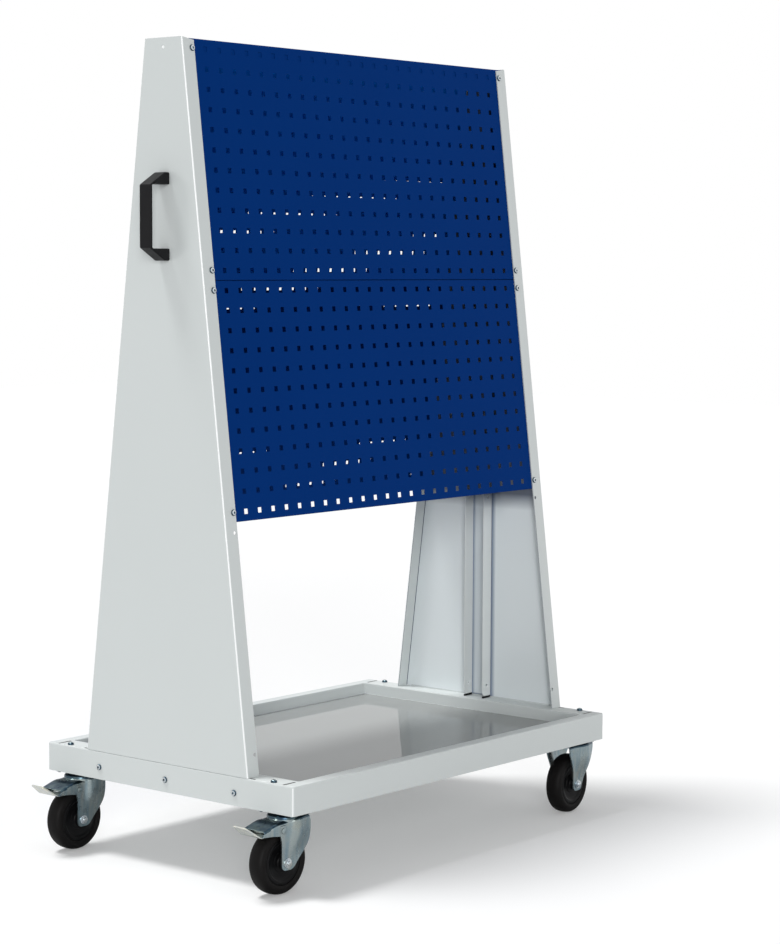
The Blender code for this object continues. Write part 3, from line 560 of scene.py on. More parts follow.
# Tray
def base_tray():
    """Walls, top flanges and sunk floor as one folded and welded sheet, with its slots and screw holes."""
    lines = [(0.0, WALL_CORNER, RAIL_BOTTOM), (0.0, WALL_CORNER, TRAY_TOP - WALL_BEND)]
    for cos, sin in quarter(6):
        inset = WALL_BEND * (1 - cos)
        lines.append((inset, WALL_CORNER - inset, TRAY_TOP - WALL_BEND + WALL_BEND * sin))
    rows = [(HALF_X - inset, HALF_Y - inset, corner, z) for inset, corner, z in lines]
    lip_x, lip_y = HALF_X - END_FLANGE, HALF_Y - RIM_FLANGE
    lines = [(LIP_BEND * (1 - sin), TRAY_TOP - LIP_BEND * (1 - cos)) for cos, sin in quarter(4, 0)]
    lines += [(-FLOOR_BEND * (1 - cos), FLOOR_TOP + FLOOR_BEND * (1 - sin)) for cos, sin in quarter(3, 0)]
    rows += [(lip_x + out, lip_y + out, LIP_CORNER + out, z) for out, z in lines]
    rows = [[(x, y, z) for x, y in rectangle(half_x, half_y, radius, 8)]
            for half_x, half_y, radius, z in rows]
    bm = loft(rows, True)
    count = len(rows[0])
    bm.verts.ensure_lookup_table()
    bm.faces.new([bm.verts[(len(rows) - 1) * count + k] for k in range(count)])
    slots = [block((size_x, size_y, 0.010), (sx * (HALF_X - inset), sy * y, TRAY_TOP))
             for size_x, size_y, inset, y in SLOTS for sx, sy in CORNERS]
    tongue = (SHEET + 0.0008, 2 * TONGUE_HALF_WIDTH + 0.001, 0.010)
    slots += [block(tongue, (s * (INNER_X - SHEET / 2), 0, TRAY_TOP)) for s in (-1, 1)]
    holes = [pin(SCREW_HOLE, (s * HALF_X, y, RAIL_SCREW_Z), "X", 0.010) for s in (-1, 1) for y in RAIL_SCREWS]
    holes += [pin(SCREW_HOLE, (sx * CORNER_BOLT_X, sy * CORNER_BOLT_Y, TRAY_TOP), "Z", 0.008)
              for sx, sy in CORNERS]
    bmesh.ops.recalc_face_normals(bm, faces=bm.faces)
    made = shaped(bm, SHEET, -1, [joined(*slots), joined(*holes)], 0.0004, 2, 40)
    obj = painted("tray", made, "base_tray")
    # The floor gets its own glossier coat; the top flanges get the lighter copy of the grey paint, a painted
    # light
    for material, height in ((TRAY_GREY, FLOOR_TOP), (LIT_RIM_GREY, TRAY_TOP)):
        repaint(obj, material, lambda face: abs(face.center.z - height) < 0.0005 and face.normal.z > 0.9)
    # Painted highlight on the tray's rounded upright corners
    repaint(obj, PAINTED_HIGHLIGHT_GREY,
            lambda face: abs(face.center.y) > HALF_Y - WALL_CORNER and upright_fold(face, 0.6))


def painted_slot_shade():
    """Black strips as painted shade inside the slots and in the gaps below the channels' flanges."""
    strips = [(size_x - 2 * FIT, size_y - 2 * FIT, 0.0016, inset, y, TRAY_TOP - 0.0012)
              for size_x, size_y, inset, y in SLOTS]
    strips.append((0.0290, 0.0018, 0.0038, 0.0173, CHANNEL_WIDTH / 2 - 0.0010, TRAY_TOP + 0.0022))
    parts = [shaped(block((a, b, c), (sx * (HALF_X - inset), sy * y, z)), edge=0.0002)
             for a, b, c, inset, y, z in strips for sx, sy in CORNERS]
    piece("painted_slot_shade", joined(*parts), PLASTIC, "trolley", "base_tray", TROLLEY)


def tray_hems():
    """The narrow returns under the walls, stopped short of the corners."""
    made = []
    profile = rounded([(0.0009, 0.010), (0.0009, 0), (0.0145, 0)], 0.0014, 4)
    walls = ((HALF_X - HEM_STOP, HALF_Y, True), (HALF_Y - HEM_STOP, HALF_X, False))
    for s in (-1, 1):
        for half, reach, lengthwise in walls:
            rows = [[(x, s * (reach - y), z) if lengthwise else (s * (reach - y), x, z) for y, z in profile]
                    for x in (-half, half)]
            bm = loft(rows)
            bmesh.ops.recalc_face_normals(bm, faces=bm.faces)
            made.append((shaped(bm, HEM_SHEET, 0), at(0, 0, RAIL_BOTTOM + 0.0008)))
    painted("tray_hems", shaped(joined(*made), edge=0.0003), "base_tray")


def castor_beams():
    """The channels under the floor that carry the castors' plates."""
    top, bottom = FLOOR_TOP - SHEET, RAIL_BOTTOM + 0.004 + FIT
    wide, reach = 0.031, HALF_Y - SHEET - 0.003
    for s, end in ENDS:
        outline = rounded([(-wide, top - 0.010), (-wide, bottom), (wide, bottom), (wide, top)], 0.003, 5)
        outline = [(s * (HALF_X - 0.039) - s * across, z) for across, z in outline]
        bm = loft([[(across, y, z) for across, z in outline] for y in (-reach, reach)])
        bm.normal_update()
        painted(f"castor_beam_{end}", shaped(bm, SHEET, 1 if s < 0 else -1, edge=0.0004), "base_tray")


# End panels and channels
def end_panel(side, end):
    """A tapering web with two folded flanges, its screw holes and its plugged top hole, and its tongue."""
    outer, inner = side * HALF_X, side * (HALF_X - END_PANEL_FLANGE)
    foot, levels = TRAY_TOP + 0.0001, 12
    rows = []
    for k in range(levels + 1):
        z = foot + (END_PANEL_TOP - foot) * (k / levels)
        half = TOP_HALF_DEPTH + (END_PANEL_TOP - z) * math.tan(TILT)
        row = []
        for x, y in rounded([(inner, -half), (outer, -half), (outer, half), (inner, half)], 0.0030, 6):
            drop = FLANGE_CHAMFER * abs(outer - x) / END_PANEL_FLANGE if k == levels else 0.0
            row.append((x, y + math.copysign(drop * math.tan(TILT), y), z - drop))
        rows.append(row)
    bm = loft(rows)
    offset = growth(bm, (side, 0, 0))
    web_holes = [pin(SCREW_HOLE, (outer, 0, z), "X", 0.020)
                 for z in ((TOP_HOLE_Z, *HANDLE_SCREWS) if side < 0 else (TOP_HOLE_Z,))]
    flange_holes = []
    for sign, matrix in FACES.values():
        for row in PANEL_SCREW_ROWS + (SPARE_HOLE_ROWS if sign > 0 else ()):
            place = (side * PANEL_SCREW_X * sign, SHEET / 2, -(FIRST_ROW + HOLE_PITCH * row))
            flange_holes.append((pin(SCREW_HOLE, place, "Y", 0.012), TROLLEY.inverted() @ matrix))
    made = shaped(bm, SHEET, offset, [joined(*web_holes), joined(*flange_holes)], 0.0005, 2, 40)
    spot = (side * (HALF_X - SHEET / 2), 0, TOP_HOLE_Z)
    plug = TROLLEY @ Vector(spot)
    made = joined(made, shaped(pin(PLUG_RADIUS, spot, "X", SHEET * 0.8), edge=0.0003))
    obj = painted(f"end_panel_{end}_sheet", made, f"end_panel_{end}")
    # Painted light and shade on the web's inner face
    repaint(obj, LIT_AND_SHADED_INNER_GREY,
            lambda face: face.normal.x * side < -0.5 and abs(face.center.x - MIDDLE_X) > HALF_X - 0.004)
    # Painted highlight on the outer folds, and a painted bright spot on the plug in the top hole
    repaint(obj, PAINTED_HIGHLIGHT_GREY, lambda face: face.normal.x * side > 0 and upright_fold(face, 0.35))
    repaint(obj, PAINTED_HIGHLIGHT_GREY, lambda face: (face.center - plug).length < PLUG_RADIUS + 0.0001)
    # Painted shade in the inner folds
    repaint(obj, PAINTED_FOLD_SHADE_GREY, lambda face: face.normal.x * side < 0 and upright_fold(face, 0.10))
    tongue = block((SHEET, 2 * TONGUE_HALF_WIDTH, TONGUE_HEIGHT),
                   (side * (INNER_X - SHEET / 2), 0, TRAY_TOP + SHEET - TONGUE_HEIGHT / 2))
    painted(f"end_panel_{end}_tongue", shaped(tongue, edge=0.0005), f"end_panel_{end}")


def channel(side, end):
    """The upright channel on the inside of an end panel, with rounded lower corners."""
    back, tip, half = side * INNER_X, side * (INNER_X - CHANNEL_FLANGE), CHANNEL_WIDTH / 2
    plan = rounded([(tip, half), (back, half), (back, -half), (tip, -half)], 0.0028, 5)
    # Heights, and how far the flanges' edges draw back there
    levels = [(CHANNEL_FOOT, 0.0085), (CHANNEL_FOOT + 0.0012, 0.0052), (CHANNEL_FOOT + 0.004, 0.0018),
              (CHANNEL_FOOT + 0.0085, 0.0), (CHANNEL_TOP, 0.0)]
    bm = loft([[(x + side * nick if k in (0, len(plan) - 1) else x, y, z) for k, (x, y) in enumerate(plan)]
               for z, nick in levels])
    offset = growth(bm, (side, 0, 0), lambda face: abs(face.normal.x) > 0.9)
    holes = [pin(SCREW_HOLE, (side * (HALF_X - 0.0175), 0, z), "Y", 0.070) for z in CHANNEL_HOLES]
    if side < 0:
        holes += [pin(SCREW_HOLE, (back, 0, z), "X", 0.012) for z in HANDLE_SCREWS]
    made = shaped(bm, SHEET, offset, [joined(*holes)], 0.0004, 2, 40)
    # The flanges and the web get lighter copies of the grey paint as painted light, with painted shade
    obj = painted(f"channel_{end}", made, f"inner_channel_{end}", LIT_AND_SHADED_CHANNEL_FLANGE_GREY)
    repaint(obj, LIT_AND_SHADED_CHANNEL_WEB_GREY,
            lambda face: abs(face.normal.x) > 0.5 and abs(face.center.x - MIDDLE_X) > INNER_X - 0.004)


# Perforated panels
def hole_outline(x, z, half, corner, steps):
    """The points of one punched hole, corner by corner, from the lower left one on."""
    square = [(x - half, z - half), (x + half, z - half), (x + half, z + half), (x - half, z + half)]
    return rounded(square, corner, steps, True)


def perforated_panel(name, node, face, top):
    """Rows of punched square holes in a sheet whose upper and lower edges turn back."""
    sign, matrix = FACES[face]
    front, steps = SHEET + FIT, 2
    high, low = -top - PANEL_BEND, -top - ROWS * HOLE_PITCH + 0.0006 + PANEL_BEND
    xs = [HOLE_PITCH * (c - COLUMNS // 2 - 1) for c in range(COLUMNS + 3)]
    zs = [high] + [-top - HOLE_PITCH * r for r in range(1, ROWS)] + [low]
    bm = bmesh.new()
    grid = [[bm.verts.new((x, front, z)) for x in xs] for z in zs]
    for r in range(ROWS):
        for c in range(COLUMNS + 2):
            upper, lower = grid[r], grid[r + 1]
            corners = [lower[c], lower[c + 1], upper[c + 1], upper[c]]
            x = (xs[c] + xs[c + 1]) / 2
            z = -top - HOLE_PITCH * (r + 0.5)
            # The outermost columns hold only the screws' round holes
            if 0 < c < COLUMNS + 1:
                points = hole_outline(x, z, HOLE_SIZES[face] / 2, 0.0007, steps)
            elif r in (0, ROWS - 1):
                points = hole_outline(x, z, 0.0034, 0.0033, steps)
            else:
                bm.faces.new(corners)
                continue
            inner = [bm.verts.new((px, front, pz)) for px, pz in points]
            each = steps + 1
            for k in range(4):
                for i in range(steps):
                    bm.faces.new((corners[k], inner[k * each + i + 1], inner[k * each + i]))
                n = (k + 1) % 4
                bm.faces.new((corners[k], corners[n], inner[n * each], inner[k * each + steps]))
    bends = [(PANEL_BEND * (1 - cos), PANEL_BEND * sin) for cos, sin in quarter(4)]
    bends.append((PANEL_RETURN, PANEL_BEND))
    for before, z, way in ((grid[0], high, 1), (grid[-1], low, -1)):
        for back, up in bends:
            line = [bm.verts.new((x, front + back, z + way * up)) for x in xs]
            for a, b, d, e in zip(before, before[1:], line[1:], line):
                bm.faces.new((a, b, d, e))
            before = line
    offset = growth(bm, (0, -1, 0), lambda face: abs(face.normal.y) > 0.9)
    made = shaped(bm, PANEL_SHEET, offset, edge=0.0002, edge_steps=1, angle=40)
    if name.endswith("upper"):
        # A hem behind the first row of holes
        hem = block((COLUMNS * HOLE_PITCH, PANEL_SHEET, 0.0300),
                    (0, front + 1.5 * PANEL_SHEET + FIT, high - 0.0165))
        made = joined(made, shaped(hem, edge=0.0002))
    obj = piece(name, made, BLUE, "trolley", node, matrix)
    # Painted light on the inner side
    repaint(obj, LIT_INNER_BLUE, lambda polygon: polygon.normal.y * sign > 0.5)


# Screws
def socket_head(radius, height, shank, length):
    """A button-head screw with a hex socket; it seats at z = 0 and its head stands along +Z."""
    apothem, deep = radius * 0.36, height * 0.62
    rings = [(0.0, -length), (shank * 0.75, -length), (shank, -length + shank * 0.3), (shank, 0.0),
             (radius * 0.97, 0.0), (radius, height * 0.10), (radius * 0.985, height * 0.24)]
    rings += [(radius * (0.40 + 0.575 * cos), height * (0.28 + 0.72 * sin)) for cos, sin in quarter(6)]

    def spoke(angle):
        flat = hexagon(apothem, angle)
        return rings + [(flat * 1.02, height), (flat * 0.98, height * 0.97), (flat * 0.96, height - deep),
                        (0.0, height - deep * 1.08)]

    return turned(spoke, HEX_STEPS)


def screws():
    """Every screw and bolt at its node. Their rim and socket carry painted shade, and each has its own turn.
    """
    kinds = {}
    for kind, height, plate in (("screw", 0.0034, BRIGHT), ("corner", 0.0050, ZINC)):
        bm = socket_head(HEAD_RADIUS, height, 0.003, 0.009)
        bmesh.ops.recalc_face_normals(bm, faces=bm.faces)
        kinds[kind] = smoothed(bm, kind, 40)
        for material in (plate, PAINTED_SHADE_ZINC):
            kinds[kind].materials.append(material)
        # Painted shade on the rim and in the socket
        for face in kinds[kind].polygons:
            across = math.hypot(face.center.x, face.center.y)
            if across > 0.0050 or across < 0.0022 and face.center.z < height - 0.0002:
                face.material_index = 1
    places = {}
    for face, (sign, matrix) in FACES.items():
        for side, end in ENDS:
            for k, row in enumerate(PANEL_SCREW_ROWS, 1):
                spot = at(side * sign * PANEL_SCREW_X, -FIT, -(FIRST_ROW + HOLE_PITCH * row))
                places[f"{face}_{end}_panel_screw_{k}"] = matrix @ spot @ ALONG_Y
    for side, end in ENDS:
        for k, y in enumerate(RAIL_SCREWS, 1):
            spot = at(side * (HALF_X + FIT), y, RAIL_SCREW_Z)
            places[f"{end}_rail_screw_{k}"] = TROLLEY @ spot @ turn(y=side * QUARTER)
    for k, (sx, sy) in enumerate(CORNERS, 1):
        places[f"corner_bolt_{k}"] = TROLLEY @ at(sx * CORNER_BOLT_X, sy * CORNER_BOLT_Y, TRAY_TOP + FIT)
    for k, z in enumerate(HANDLE_SCREWS, 1):
        places[f"handle_screw_{k}"] = TROLLEY @ at(0.0046 - HALF_X, 0, z) @ turn(y=QUARTER)
    for number, (node, matrix) in enumerate(places.items()):
        spin = Matrix.Rotation(math.radians(number * 37 % 60), 4, "Z")
        mesh = kinds["corner" if node.startswith("corner") else "screw"]
        seat(node + "_head", mesh, "trolley", node, matrix @ spin)


# Handle
def handle():
    """The black pull handle: two legs and a bar with cut corners, all edges rounded."""
    out, half, leg, bar, cut_x, cut_z, wide, aside = 0.052, 0.083, 0.023, 0.007, 0.040, 0.024, 0.0145, 0.003
    outline = [(0, half), (out - cut_x, half), (out, half - cut_z), (out, cut_z - half), (out - cut_x, -half),
               (0, -half), (0, leg - half), (out - bar, leg - half), (out - bar, half - leg), (0, half - leg)]
    radii = [0, 0.006, 0.004, 0.004, 0.006, 0, 0, 0.003, 0.003, 0]
    points = [(-x, z) for x, z in rounded(outline, radii, 6, True)]
    made = shaped(extruded(points, aside - wide, aside + wide), edge=0.0022, edge_steps=4, angle=50)
    place = TROLLEY @ at(-HALF_X - FIT, 0, HANDLE_Z) @ ALONG_Y
    piece("pull_handle", made, BLACK, "trolley", "handle", place)


# Castors
def hex_nut(apothem, height, bore):
    """A chamfered hexagon on z = 0 that stands along +Z, with a domed bolt end in it."""
    inner = apothem * 0.95

    def spoke(angle):
        far = hexagon(apothem, angle)
        return [(0.0, 0.0), (far, 0.0), (far, height - (far - inner) * 0.55), (inner, height),
                (bore * 1.12, height), (bore, height - 0.0004), (bore, height + 0.0012),
                (bore * 0.7, height + 0.0019), (0.0, height + 0.0020)]

    return turned(spoke, HEX_STEPS)


def castor_plate(tag):
    """The top plate with its upper race and four nuts."""
    low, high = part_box(f"castor_plate_{tag}")
    middle = at((low.x + high.x) / 2, (low.y + high.y) / 2, 0)
    outline = rectangle((high.x - low.x) / 2, (high.y - low.y) / 2, 0.008, 6)
    plate = shaped(extruded(outline, RAIL_BOTTOM, RAIL_BOTTOM + 0.004), edge=0.0006)
    race = turned([(0.0, 0.1575), (0.0312, 0.1575), (0.0310, 0.1545), (0.0304, 0.1525), (0.0290, 0.1508),
                   (0.0268, 0.1501), (0.0, 0.1501)], 64)
    nuts = [(hex_nut(0.0058, 0.0040, 0.0030),
             at(sx * 0.023, sy * 0.038, RAIL_BOTTOM) @ turn(math.pi, 0, 0.4 * sx + sy))
            for sx, sy in CORNERS]
    obj = piece(f"castor_plate_{tag}_assembly", joined(plate, race, *nuts), ZINC, "trolley",
                f"castor_plate_{tag}", middle)
    # Painted shade under the plate: its underside, the race and the nuts
    repaint(obj, PAINTED_SHADE_ZINC, lambda face: face.center.z < RAIL_BOTTOM + 0.001)


def castor_fork(tag, swivel, braked):
    """The pressed fork: its crown bulges round the race, and its cheeks close in and narrow to the axle."""
    # Heights with the cheek's rear edge and its front edge there, along X from the axle
    if braked:
        behind = [(0.0490, -0.0060), (0.0500, -0.0092), (0.0520, -0.0118), (0.0550, -0.0136),
                  (0.0590, -0.0145), (0.1020, -0.0145), (0.1090, -0.0158), (0.1150, -0.0182),
                  (0.1210, -0.0195), (0.1500, -0.0195)]
        ahead = [(0.0490, 0.0080), (0.0500, 0.0120), (0.0520, 0.0160), (0.0550, 0.0195), (0.0590, 0.0228),
                 (0.0660, 0.0290), (0.0756, 0.0382), (0.0830, 0.0448), (0.0887, 0.0490), (0.0960, 0.0532),
                 (0.1052, 0.0562), (0.1180, 0.0576), (0.1340, 0.0578), (0.1400, 0.0566), (0.1440, 0.0545),
                 (0.1475, 0.0515), (0.1497, 0.0480)]
    else:
        behind = [(0.0490, -0.0070), (0.0500, -0.0105), (0.0520, -0.0135), (0.0550, -0.0158),
                  (0.0590, -0.0168), (0.0750, -0.0172), (0.0900, -0.0188), (0.1050, -0.0242),
                  (0.1280, -0.0342), (0.1500, -0.0377)]
        ahead = [(0.0490, 0.0070), (0.0500, 0.0105), (0.0520, 0.0135), (0.0560, 0.0158), (0.0625, 0.0182),
                 (0.0750, 0.0250), (0.0900, 0.0336), (0.1100, 0.0437), (0.1280, 0.0525), (0.1400, 0.0560),
                 (0.1460, 0.0545), (0.1497, 0.0490)]
    # The braked fork's crown falls to the rear, and the levels above the split close up for it
    rear_top = 0.1415 if braked else CROWN_TOP
    split, shoulder = 0.1180, CROWN_TOP - CROWN_BEND
    levels = [0.0490, 0.0494, 0.0500, 0.0508, 0.0520, 0.0534, 0.0550, 0.0570, 0.0590, 0.0625, 0.0660, 0.0700,
              0.0740, 0.0790, 0.0850, 0.0900, 0.0950, 0.1000, 0.1050, 0.1100, 0.1150, 0.1200, 0.1245, 0.1290,
              0.1360, shoulder]
    # Level, angle round the crown's bend, and share of the width that is left on the crown's top
    steps = [(level, 0.0, 1.0) for level in levels]
    steps += [(shoulder, QUARTER * k / 6, 1.0) for k in range(1, 7)]
    steps += [(CROWN_TOP, QUARTER, share) for share in (0.66, 0.33, 0.0)]
    columns = 18
    rows = []
    for side in (1, -1):
        for level, angle, share in steps if side > 0 else steps[-2::-1]:
            height = level + CROWN_BEND * math.sin(angle) if angle < QUARTER else CROWN_TOP
            low, high = between(behind, height), between(ahead, height)
            if share < 1.0:
                high = TRAIL + math.sqrt(CROWN_RADIUS ** 2 - (0.025 * share) ** 2)
                low += 0.004 * (1 - share)
            row = []
            for k in range(columns + 1):
                x = low + (high - low) * k / columns
                bulge = 0.28 + 0.72 * math.cos(QUARTER * min(1.0, abs(x - TRAIL) / 0.042)) ** 2
                if braked and x < TRAIL:
                    bulge = smooth(x, -0.002, TRAIL)
                wide = CHEEK_OUT + (CROWN_RADIUS - CHEEK_OUT) * bulge * smooth(height, FLARE_LOW, FLARE_HIGH)
                top = rear_top + (CROWN_TOP - rear_top) * smooth(x, -0.016, 0.034)
                squeeze = (top - CROWN_BEND - split) / (shoulder - split)
                z = level if level < split else split + (min(level, shoulder) - split) * squeeze
                z += CROWN_BEND * math.sin(angle)
                y = (wide - CROWN_BEND + CROWN_BEND * math.cos(angle)) * share
                row.append((x - TRAIL, side * y, z))
            rows.append(row)
    bm = loft(rows)
    offset = growth(bm, (0, 1, 0), lambda face: face.calc_center_median().y > CHEEK_OUT - 0.001)
    cut = pin(AXLE_RADIUS + 0.0004, (-TRAIL, 0, WHEEL_RADIUS), "Y", 0.080, 32)
    parts = [shaped(bm, CHEEK, offset, [cut], 0.0004, 2, 35)]
    # The lower race's dish, the king bolt's nut and the lever's rivets
    parts.append(turned([(0.0, 0.1497), (0.0285, 0.1497), (0.0312, 0.1493), (0.0330, 0.1482),
                         (0.0338, 0.1464), (0.0340, 0.1440), (0.0340, 0.1400), (0.0, 0.1400)], 72))
    parts.append((hex_nut(0.0085, 0.0055, 0.0050), at(0, 0, 0.1402) @ turn(x=math.pi)))
    for s in (-1, 1) if braked else ():
        stud = turned([(0.0, 0.0), (0.0040, 0.0), (0.0040, 0.0086), (0.0058, 0.0087), (0.0056, 0.0097),
                       (0.0040, 0.0105), (0.0, 0.0107)], 32)
        parts.append((stud, at(RIVET[0], s * 0.0214, RIVET[1]) @ turn(x=-s * QUARTER)))
    obj = piece(f"fork_{tag}", joined(*parts), ZINC, f"swivel_{tag}", f"castor_fork_{tag}", swivel)
    # Painted shade and reflection on the crown's upward faces under the tray
    repaint(obj, PAINTED_SHADE_ZINC, lambda face: face.center.z > 0.135 and face.normal.z > 0.35
            or face.center.z > 0.1425 and face.normal.z > 0.05)


def axle(tag, swivel):
    """The axle bolt with a washer and a nut on both cheeks."""
    place = at(-TRAIL, 0, WHEEL_RADIUS)
    parts = [(pin(AXLE_RADIUS, (0, 0, 0), "Y", 2 * CHEEK_OUT, 32), place)]
    thick = 0.0014
    washer = [(0.0, 0.0), (0.0088, 0.0), (0.0092, 0.0003), (0.0092, 0.0011), (0.0088, thick), (0.0, thick)]
    for s in (-1, 1):
        seating = place @ at(0, s * (CHEEK_OUT + 0.0001), 0) @ turn(x=-s * QUARTER)
        parts.append((turned(washer, 40), seating))
        spin = seating @ at(0, 0, thick) @ Matrix.Rotation(0.3 + s, 4, "Z")
        parts.append((hex_nut(0.0070, 0.0030, 0.0042), spin))
    piece(f"axle_{tag}", joined(*parts), BRIGHT, f"swivel_{tag}", f"axle_bolt_{tag}", swivel)


def wheel(tag, swivel):
    """The moulded wheel centre with its stepped web, and the tyre with its side beads."""
    place = swivel @ at(-TRAIL, 0, WHEEL_RADIUS) @ ALONG_Y
    # Radius and distance from the wheel's middle plane
    right = [(0.0108, 0.0236), (0.0114, 0.0230), (0.0120, 0.0162), (0.0131, 0.0145), (0.0150, 0.0136),
             (0.0202, 0.0130), (0.0207, 0.0121), (0.0285, 0.0119), (0.0338, 0.0126), (0.0350, 0.0138),
             (0.0362, 0.0152), (0.0378, 0.0160), (0.0420, 0.0162), (0.0432, 0.0156), (0.0437, 0.0140)]
    profile = [(0.0046, 0.0236)] + right + [(r, -z) for r, z in reversed(right)] + [(0.0046, -0.0236)]
    piece(f"wheel_{tag}_moulding", turned(profile, 96, True), PLASTIC, f"wheel_{tag}", f"wheel_centre_{tag}",
          place, 40)
    right = [(0.0440, 0.0150), (0.0444, 0.0162), (0.0456, 0.0168), (0.0470, 0.0168), (0.0476, 0.0174),
             (0.0500, 0.0179), (0.0530, 0.0177), (0.0560, 0.0168), (0.0585, 0.0152), (0.0603, 0.0130),
             (0.0615, 0.0100), (0.0622, 0.0064), (0.0625, 0.0028)]
    profile = right + [(WHEEL_RADIUS, 0.0)] + [(r, -z) for r, z in reversed(right)]
    piece(f"wheel_{tag}_tyre", turned(profile, 128, True), RUBBER, f"wheel_{tag}", f"tyre_{tag}",
          place, 40)


def pedal(tag, swivel):
    """The brake lever: a pressed hood, its side plates outside the cheeks, a pad, and the tread below it."""
    half, bend = 0.0298, 0.0060
    # Distance behind the axle, top of the sheet, lower edge of the sides
    spine = [(0.0204, 0.1408, 0.1163), (0.0240, 0.1407, 0.1167), (0.0300, 0.1398, 0.1175),
             (0.0380, 0.1377, 0.1186), (0.0450, 0.1355, 0.1194), (0.0520, 0.1331, 0.1201),
             (0.0575, 0.1314, 0.1206), (0.0592, 0.1309, 0.1208)]
    rows = []
    for behind, top, low in spine:
        section = [(half, low), (half, (low + top - bend) / 2), (half, top - bend)]
        section += [(half - bend + bend * cos, top - bend + bend * sin) for cos, sin in quarter(6)]
        section += [(half * 0.5, top)]
        section = section + [(0.0, top)] + [(-y, z) for y, z in reversed(section)]
        lean = 0.9 * smooth(behind, 0.045, 0.0592)
        rows.append([(-TRAIL - behind - lean * (top - z), y, z) for y, z in section])
    bm = loft(rows)
    offset = growth(bm, (0, 0, 1), lambda face: face.normal.z ** 2 > 0.7)
    parts = [shaped(bm, HOOD_SHEET, offset, (), 0.0005, 3, 40)]
    parts.append(shaped(block((0.012, 0.028, 0.0110), (-TRAIL - 0.042, 0, 0.1292)), edge=0.0010))
    outline = [(-0.0204, 0.1163), (-0.0204, 0.1348), (-0.0030, 0.1352), (-0.0030, 0.1156)]
    outline = [(x - TRAIL, z) for x, z in rounded(outline, [0, 0, 0.004, 0.008], 6, True)]
    for low in (half - HOOD_SHEET, -half):
        cut = pin(0.0043, (RIVET[0], 0, RIVET[1]), "Y", 0.080, 32)
        flat = extruded(outline, low, low + HOOD_SHEET)
        flat.transform(ALONG_Y)
        parts.append(shaped(flat, cuts=[cut], edge=0.0004))
    obj = piece(f"lever_{tag}", joined(*parts), ZINC, f"pedal_{tag}", f"brake_pedal_{tag}", swivel)
    # Painted shade and reflection on the hood's upward faces under the tray
    repaint(obj, PAINTED_SHADE_ZINC, lambda face: face.normal.z > 0.4)
    # The tread: distance behind the axle, height of its upper face, half width
    tread = [(0.0440, 0.1222, 0.0265), (0.0560, 0.1218, 0.0265), (0.0640, 0.1216, 0.0262),
             (0.0680, 0.1222, 0.0255), (0.0710, 0.1238, 0.0245), (0.0750, 0.1266, 0.0232),
             (0.0820, 0.1318, 0.0212), (0.0880, 0.1362, 0.0196), (0.0930, 0.1397, 0.0184),
             (0.0965, 0.1420, 0.0170), (0.0977, 0.1429, 0.0150), (0.0983, 0.1433, 0.0110)]
    bm = loft([[(-TRAIL - behind, wide * k / 8, z) for k in range(-8, 9)] for behind, z, wide in tread])
    sheet = shaped(bm, TREAD_SHEET, growth(bm, (0, 0, 1)), (), 0.0006, 3, 40)
    piece(f"tread_{tag}", sheet, TREAD_ZINC, f"pedal_{tag}", f"brake_pedal_{tag}", swivel)


base_tray()
painted_slot_shade()
tray_hems()
castor_beams()
for SIDE, END in ENDS:
    end_panel(SIDE, END)
    channel(SIDE, END)
for FACE in FACES:
    perforated_panel(f"{FACE}_perforated_upper", f"{FACE}_panel_upper", FACE, PANEL_GAP)
    perforated_panel(f"{FACE}_perforated_lower", f"{FACE}_panel_lower", FACE, PANEL_GAP + ROWS * HOLE_PITCH)
screws()
handle()
for TAG, HEADING in CASTORS:
    LOW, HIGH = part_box(f"castor_plate_{TAG}")
    SWIVEL = at((LOW.x + HIGH.x) / 2, (LOW.y + HIGH.y) / 2, 0) @ turn(z=math.radians(HEADING))
    castor_plate(TAG)
    castor_fork(TAG, SWIVEL, TAG.endswith("left"))
    axle(TAG, SWIVEL)
    wheel(TAG, SWIVEL)
    if TAG.endswith("left"):
        pedal(TAG, SWIVEL)


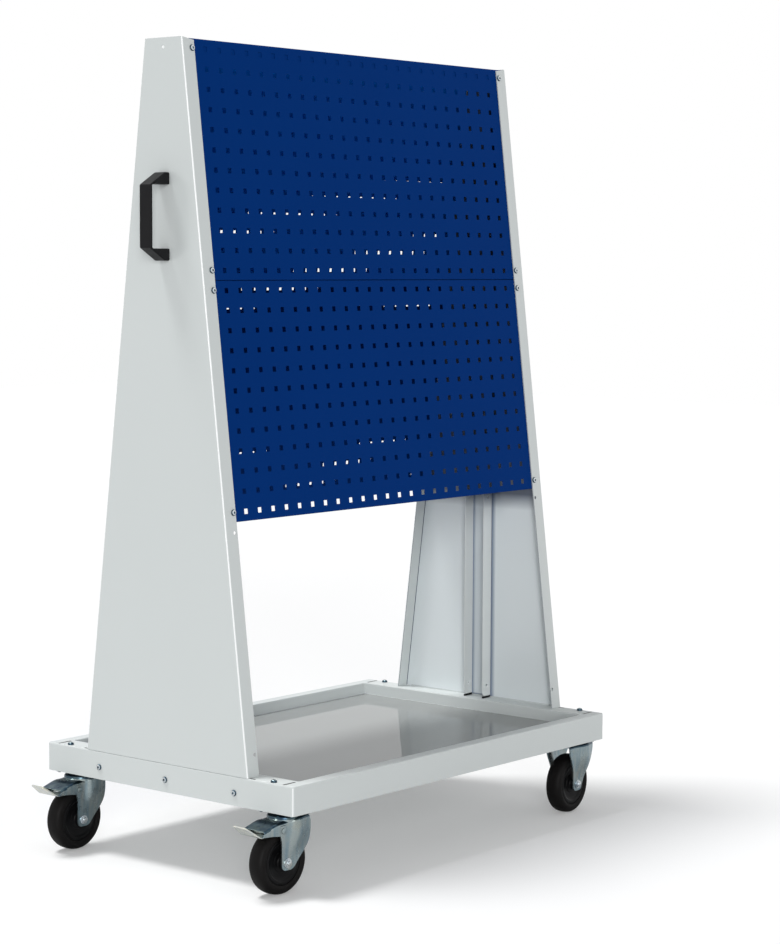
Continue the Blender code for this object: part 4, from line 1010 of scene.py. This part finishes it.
# Floor, world, lamps and camera
def floor():
    """A pale floor that the camera sees as white, with the object's shadow on it."""
    mesh = bpy.data.meshes.new("floor")
    bm = bmesh.new()
    bmesh.ops.create_grid(bm, x_segments=1, y_segments=1, size=FLOOR_HALF)
    bm.to_mesh(mesh)
    bm.free()
    obj = bpy.data.objects.new("floor", mesh)
    bpy.context.scene.collection.objects.link(obj)
    obj.location.z = -0.0002
    material = bpy.data.materials.new("floor")
    material.use_nodes = True
    nodes = Nodes(material.node_tree)
    nodes.tree.nodes.clear()
    diffuse = nodes.add("ShaderNodeBsdfDiffuse", Color=FLOOR_COLOUR).outputs[0]
    seen = nodes.add("ShaderNodeLightPath").outputs["Is Camera Ray"]
    level = nodes.add("ShaderNodeMath", {"operation": "MULTIPLY"}, i0=seen, i1=FLOOR_GLOW).outputs[0]
    glow = nodes.add("ShaderNodeEmission", Strength=level).outputs[0]
    total = nodes.add("ShaderNodeAddShader", i0=diffuse, i1=glow).outputs[0]
    nodes.add("ShaderNodeOutputMaterial", Surface=total)
    mesh.materials.append(material)
    obj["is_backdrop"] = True


def world():
    """An even light, which the camera and reflections see as white."""
    sky = bpy.data.worlds.new("studio")
    bpy.context.scene.world = sky
    sky.use_nodes = True
    nodes = Nodes(sky.node_tree)
    nodes.tree.nodes.clear()
    rays = nodes.add("ShaderNodeLightPath").outputs
    seen = nodes.add("ShaderNodeMath", {"operation": "MAXIMUM"},
                     i0=rays["Is Camera Ray"], i1=rays["Is Glossy Ray"])
    colour = nodes.mix(seen.outputs[0], WORLD_LIGHT, WORLD_SEEN)
    nodes.add("ShaderNodeOutputWorld", Surface=nodes.add("ShaderNodeBackground", Color=colour).outputs[0])


def lamp(name, heading, height, spread, level):
    """A far soft lamp at a heading and height in degrees; level is the share of white that it adds."""
    data = bpy.data.lights.new(name, "SUN")
    data.angle = math.radians(spread)
    data.energy = math.pi * level
    obj = bpy.data.objects.new(name, data)
    bpy.context.scene.collection.objects.link(obj)
    obj.rotation_euler = (math.radians(90 - height), 0, math.radians(heading))


def camera():
    """The photograph's camera. Its yaw runs from +Y to +X, its pitch downwards."""
    data = bpy.data.cameras.new("camera")
    data.sensor_fit = "HORIZONTAL"
    data.sensor_width = SENSOR_WIDTH
    data.lens = FOCAL_PIXELS / IMAGE_WIDTH * SENSOR_WIDTH
    data.clip_end = 60
    obj = bpy.data.objects.new("camera", data)
    bpy.context.scene.collection.objects.link(obj)
    yaw, pitch, roll = (math.radians(angle) for angle in (CAMERA_YAW, CAMERA_PITCH, CAMERA_ROLL))
    ahead = Vector((math.sin(yaw) * math.cos(pitch), math.cos(yaw) * math.cos(pitch), -math.sin(pitch)))
    right = Vector((math.cos(yaw), -math.sin(yaw), 0))
    up = right.cross(ahead)
    across = right * math.cos(roll) + up * math.sin(roll)
    above = up * math.cos(roll) - right * math.sin(roll)
    facing = Matrix((across, above, -ahead)).transposed().to_4x4()
    obj.matrix_world = TROLLEY @ Matrix.Translation(CAMERA_PLACE) @ facing
    bpy.context.scene.camera = obj


floor()
world()
lamp("key", -145, 69, 16, 0.62)
lamp("fill", -46, 16, 18, 0.30)
lamp("edge", -47, 5, 9, 0.13)
camera()
bpy.context.scene.view_settings.view_transform = "Standard"

LOW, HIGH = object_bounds()
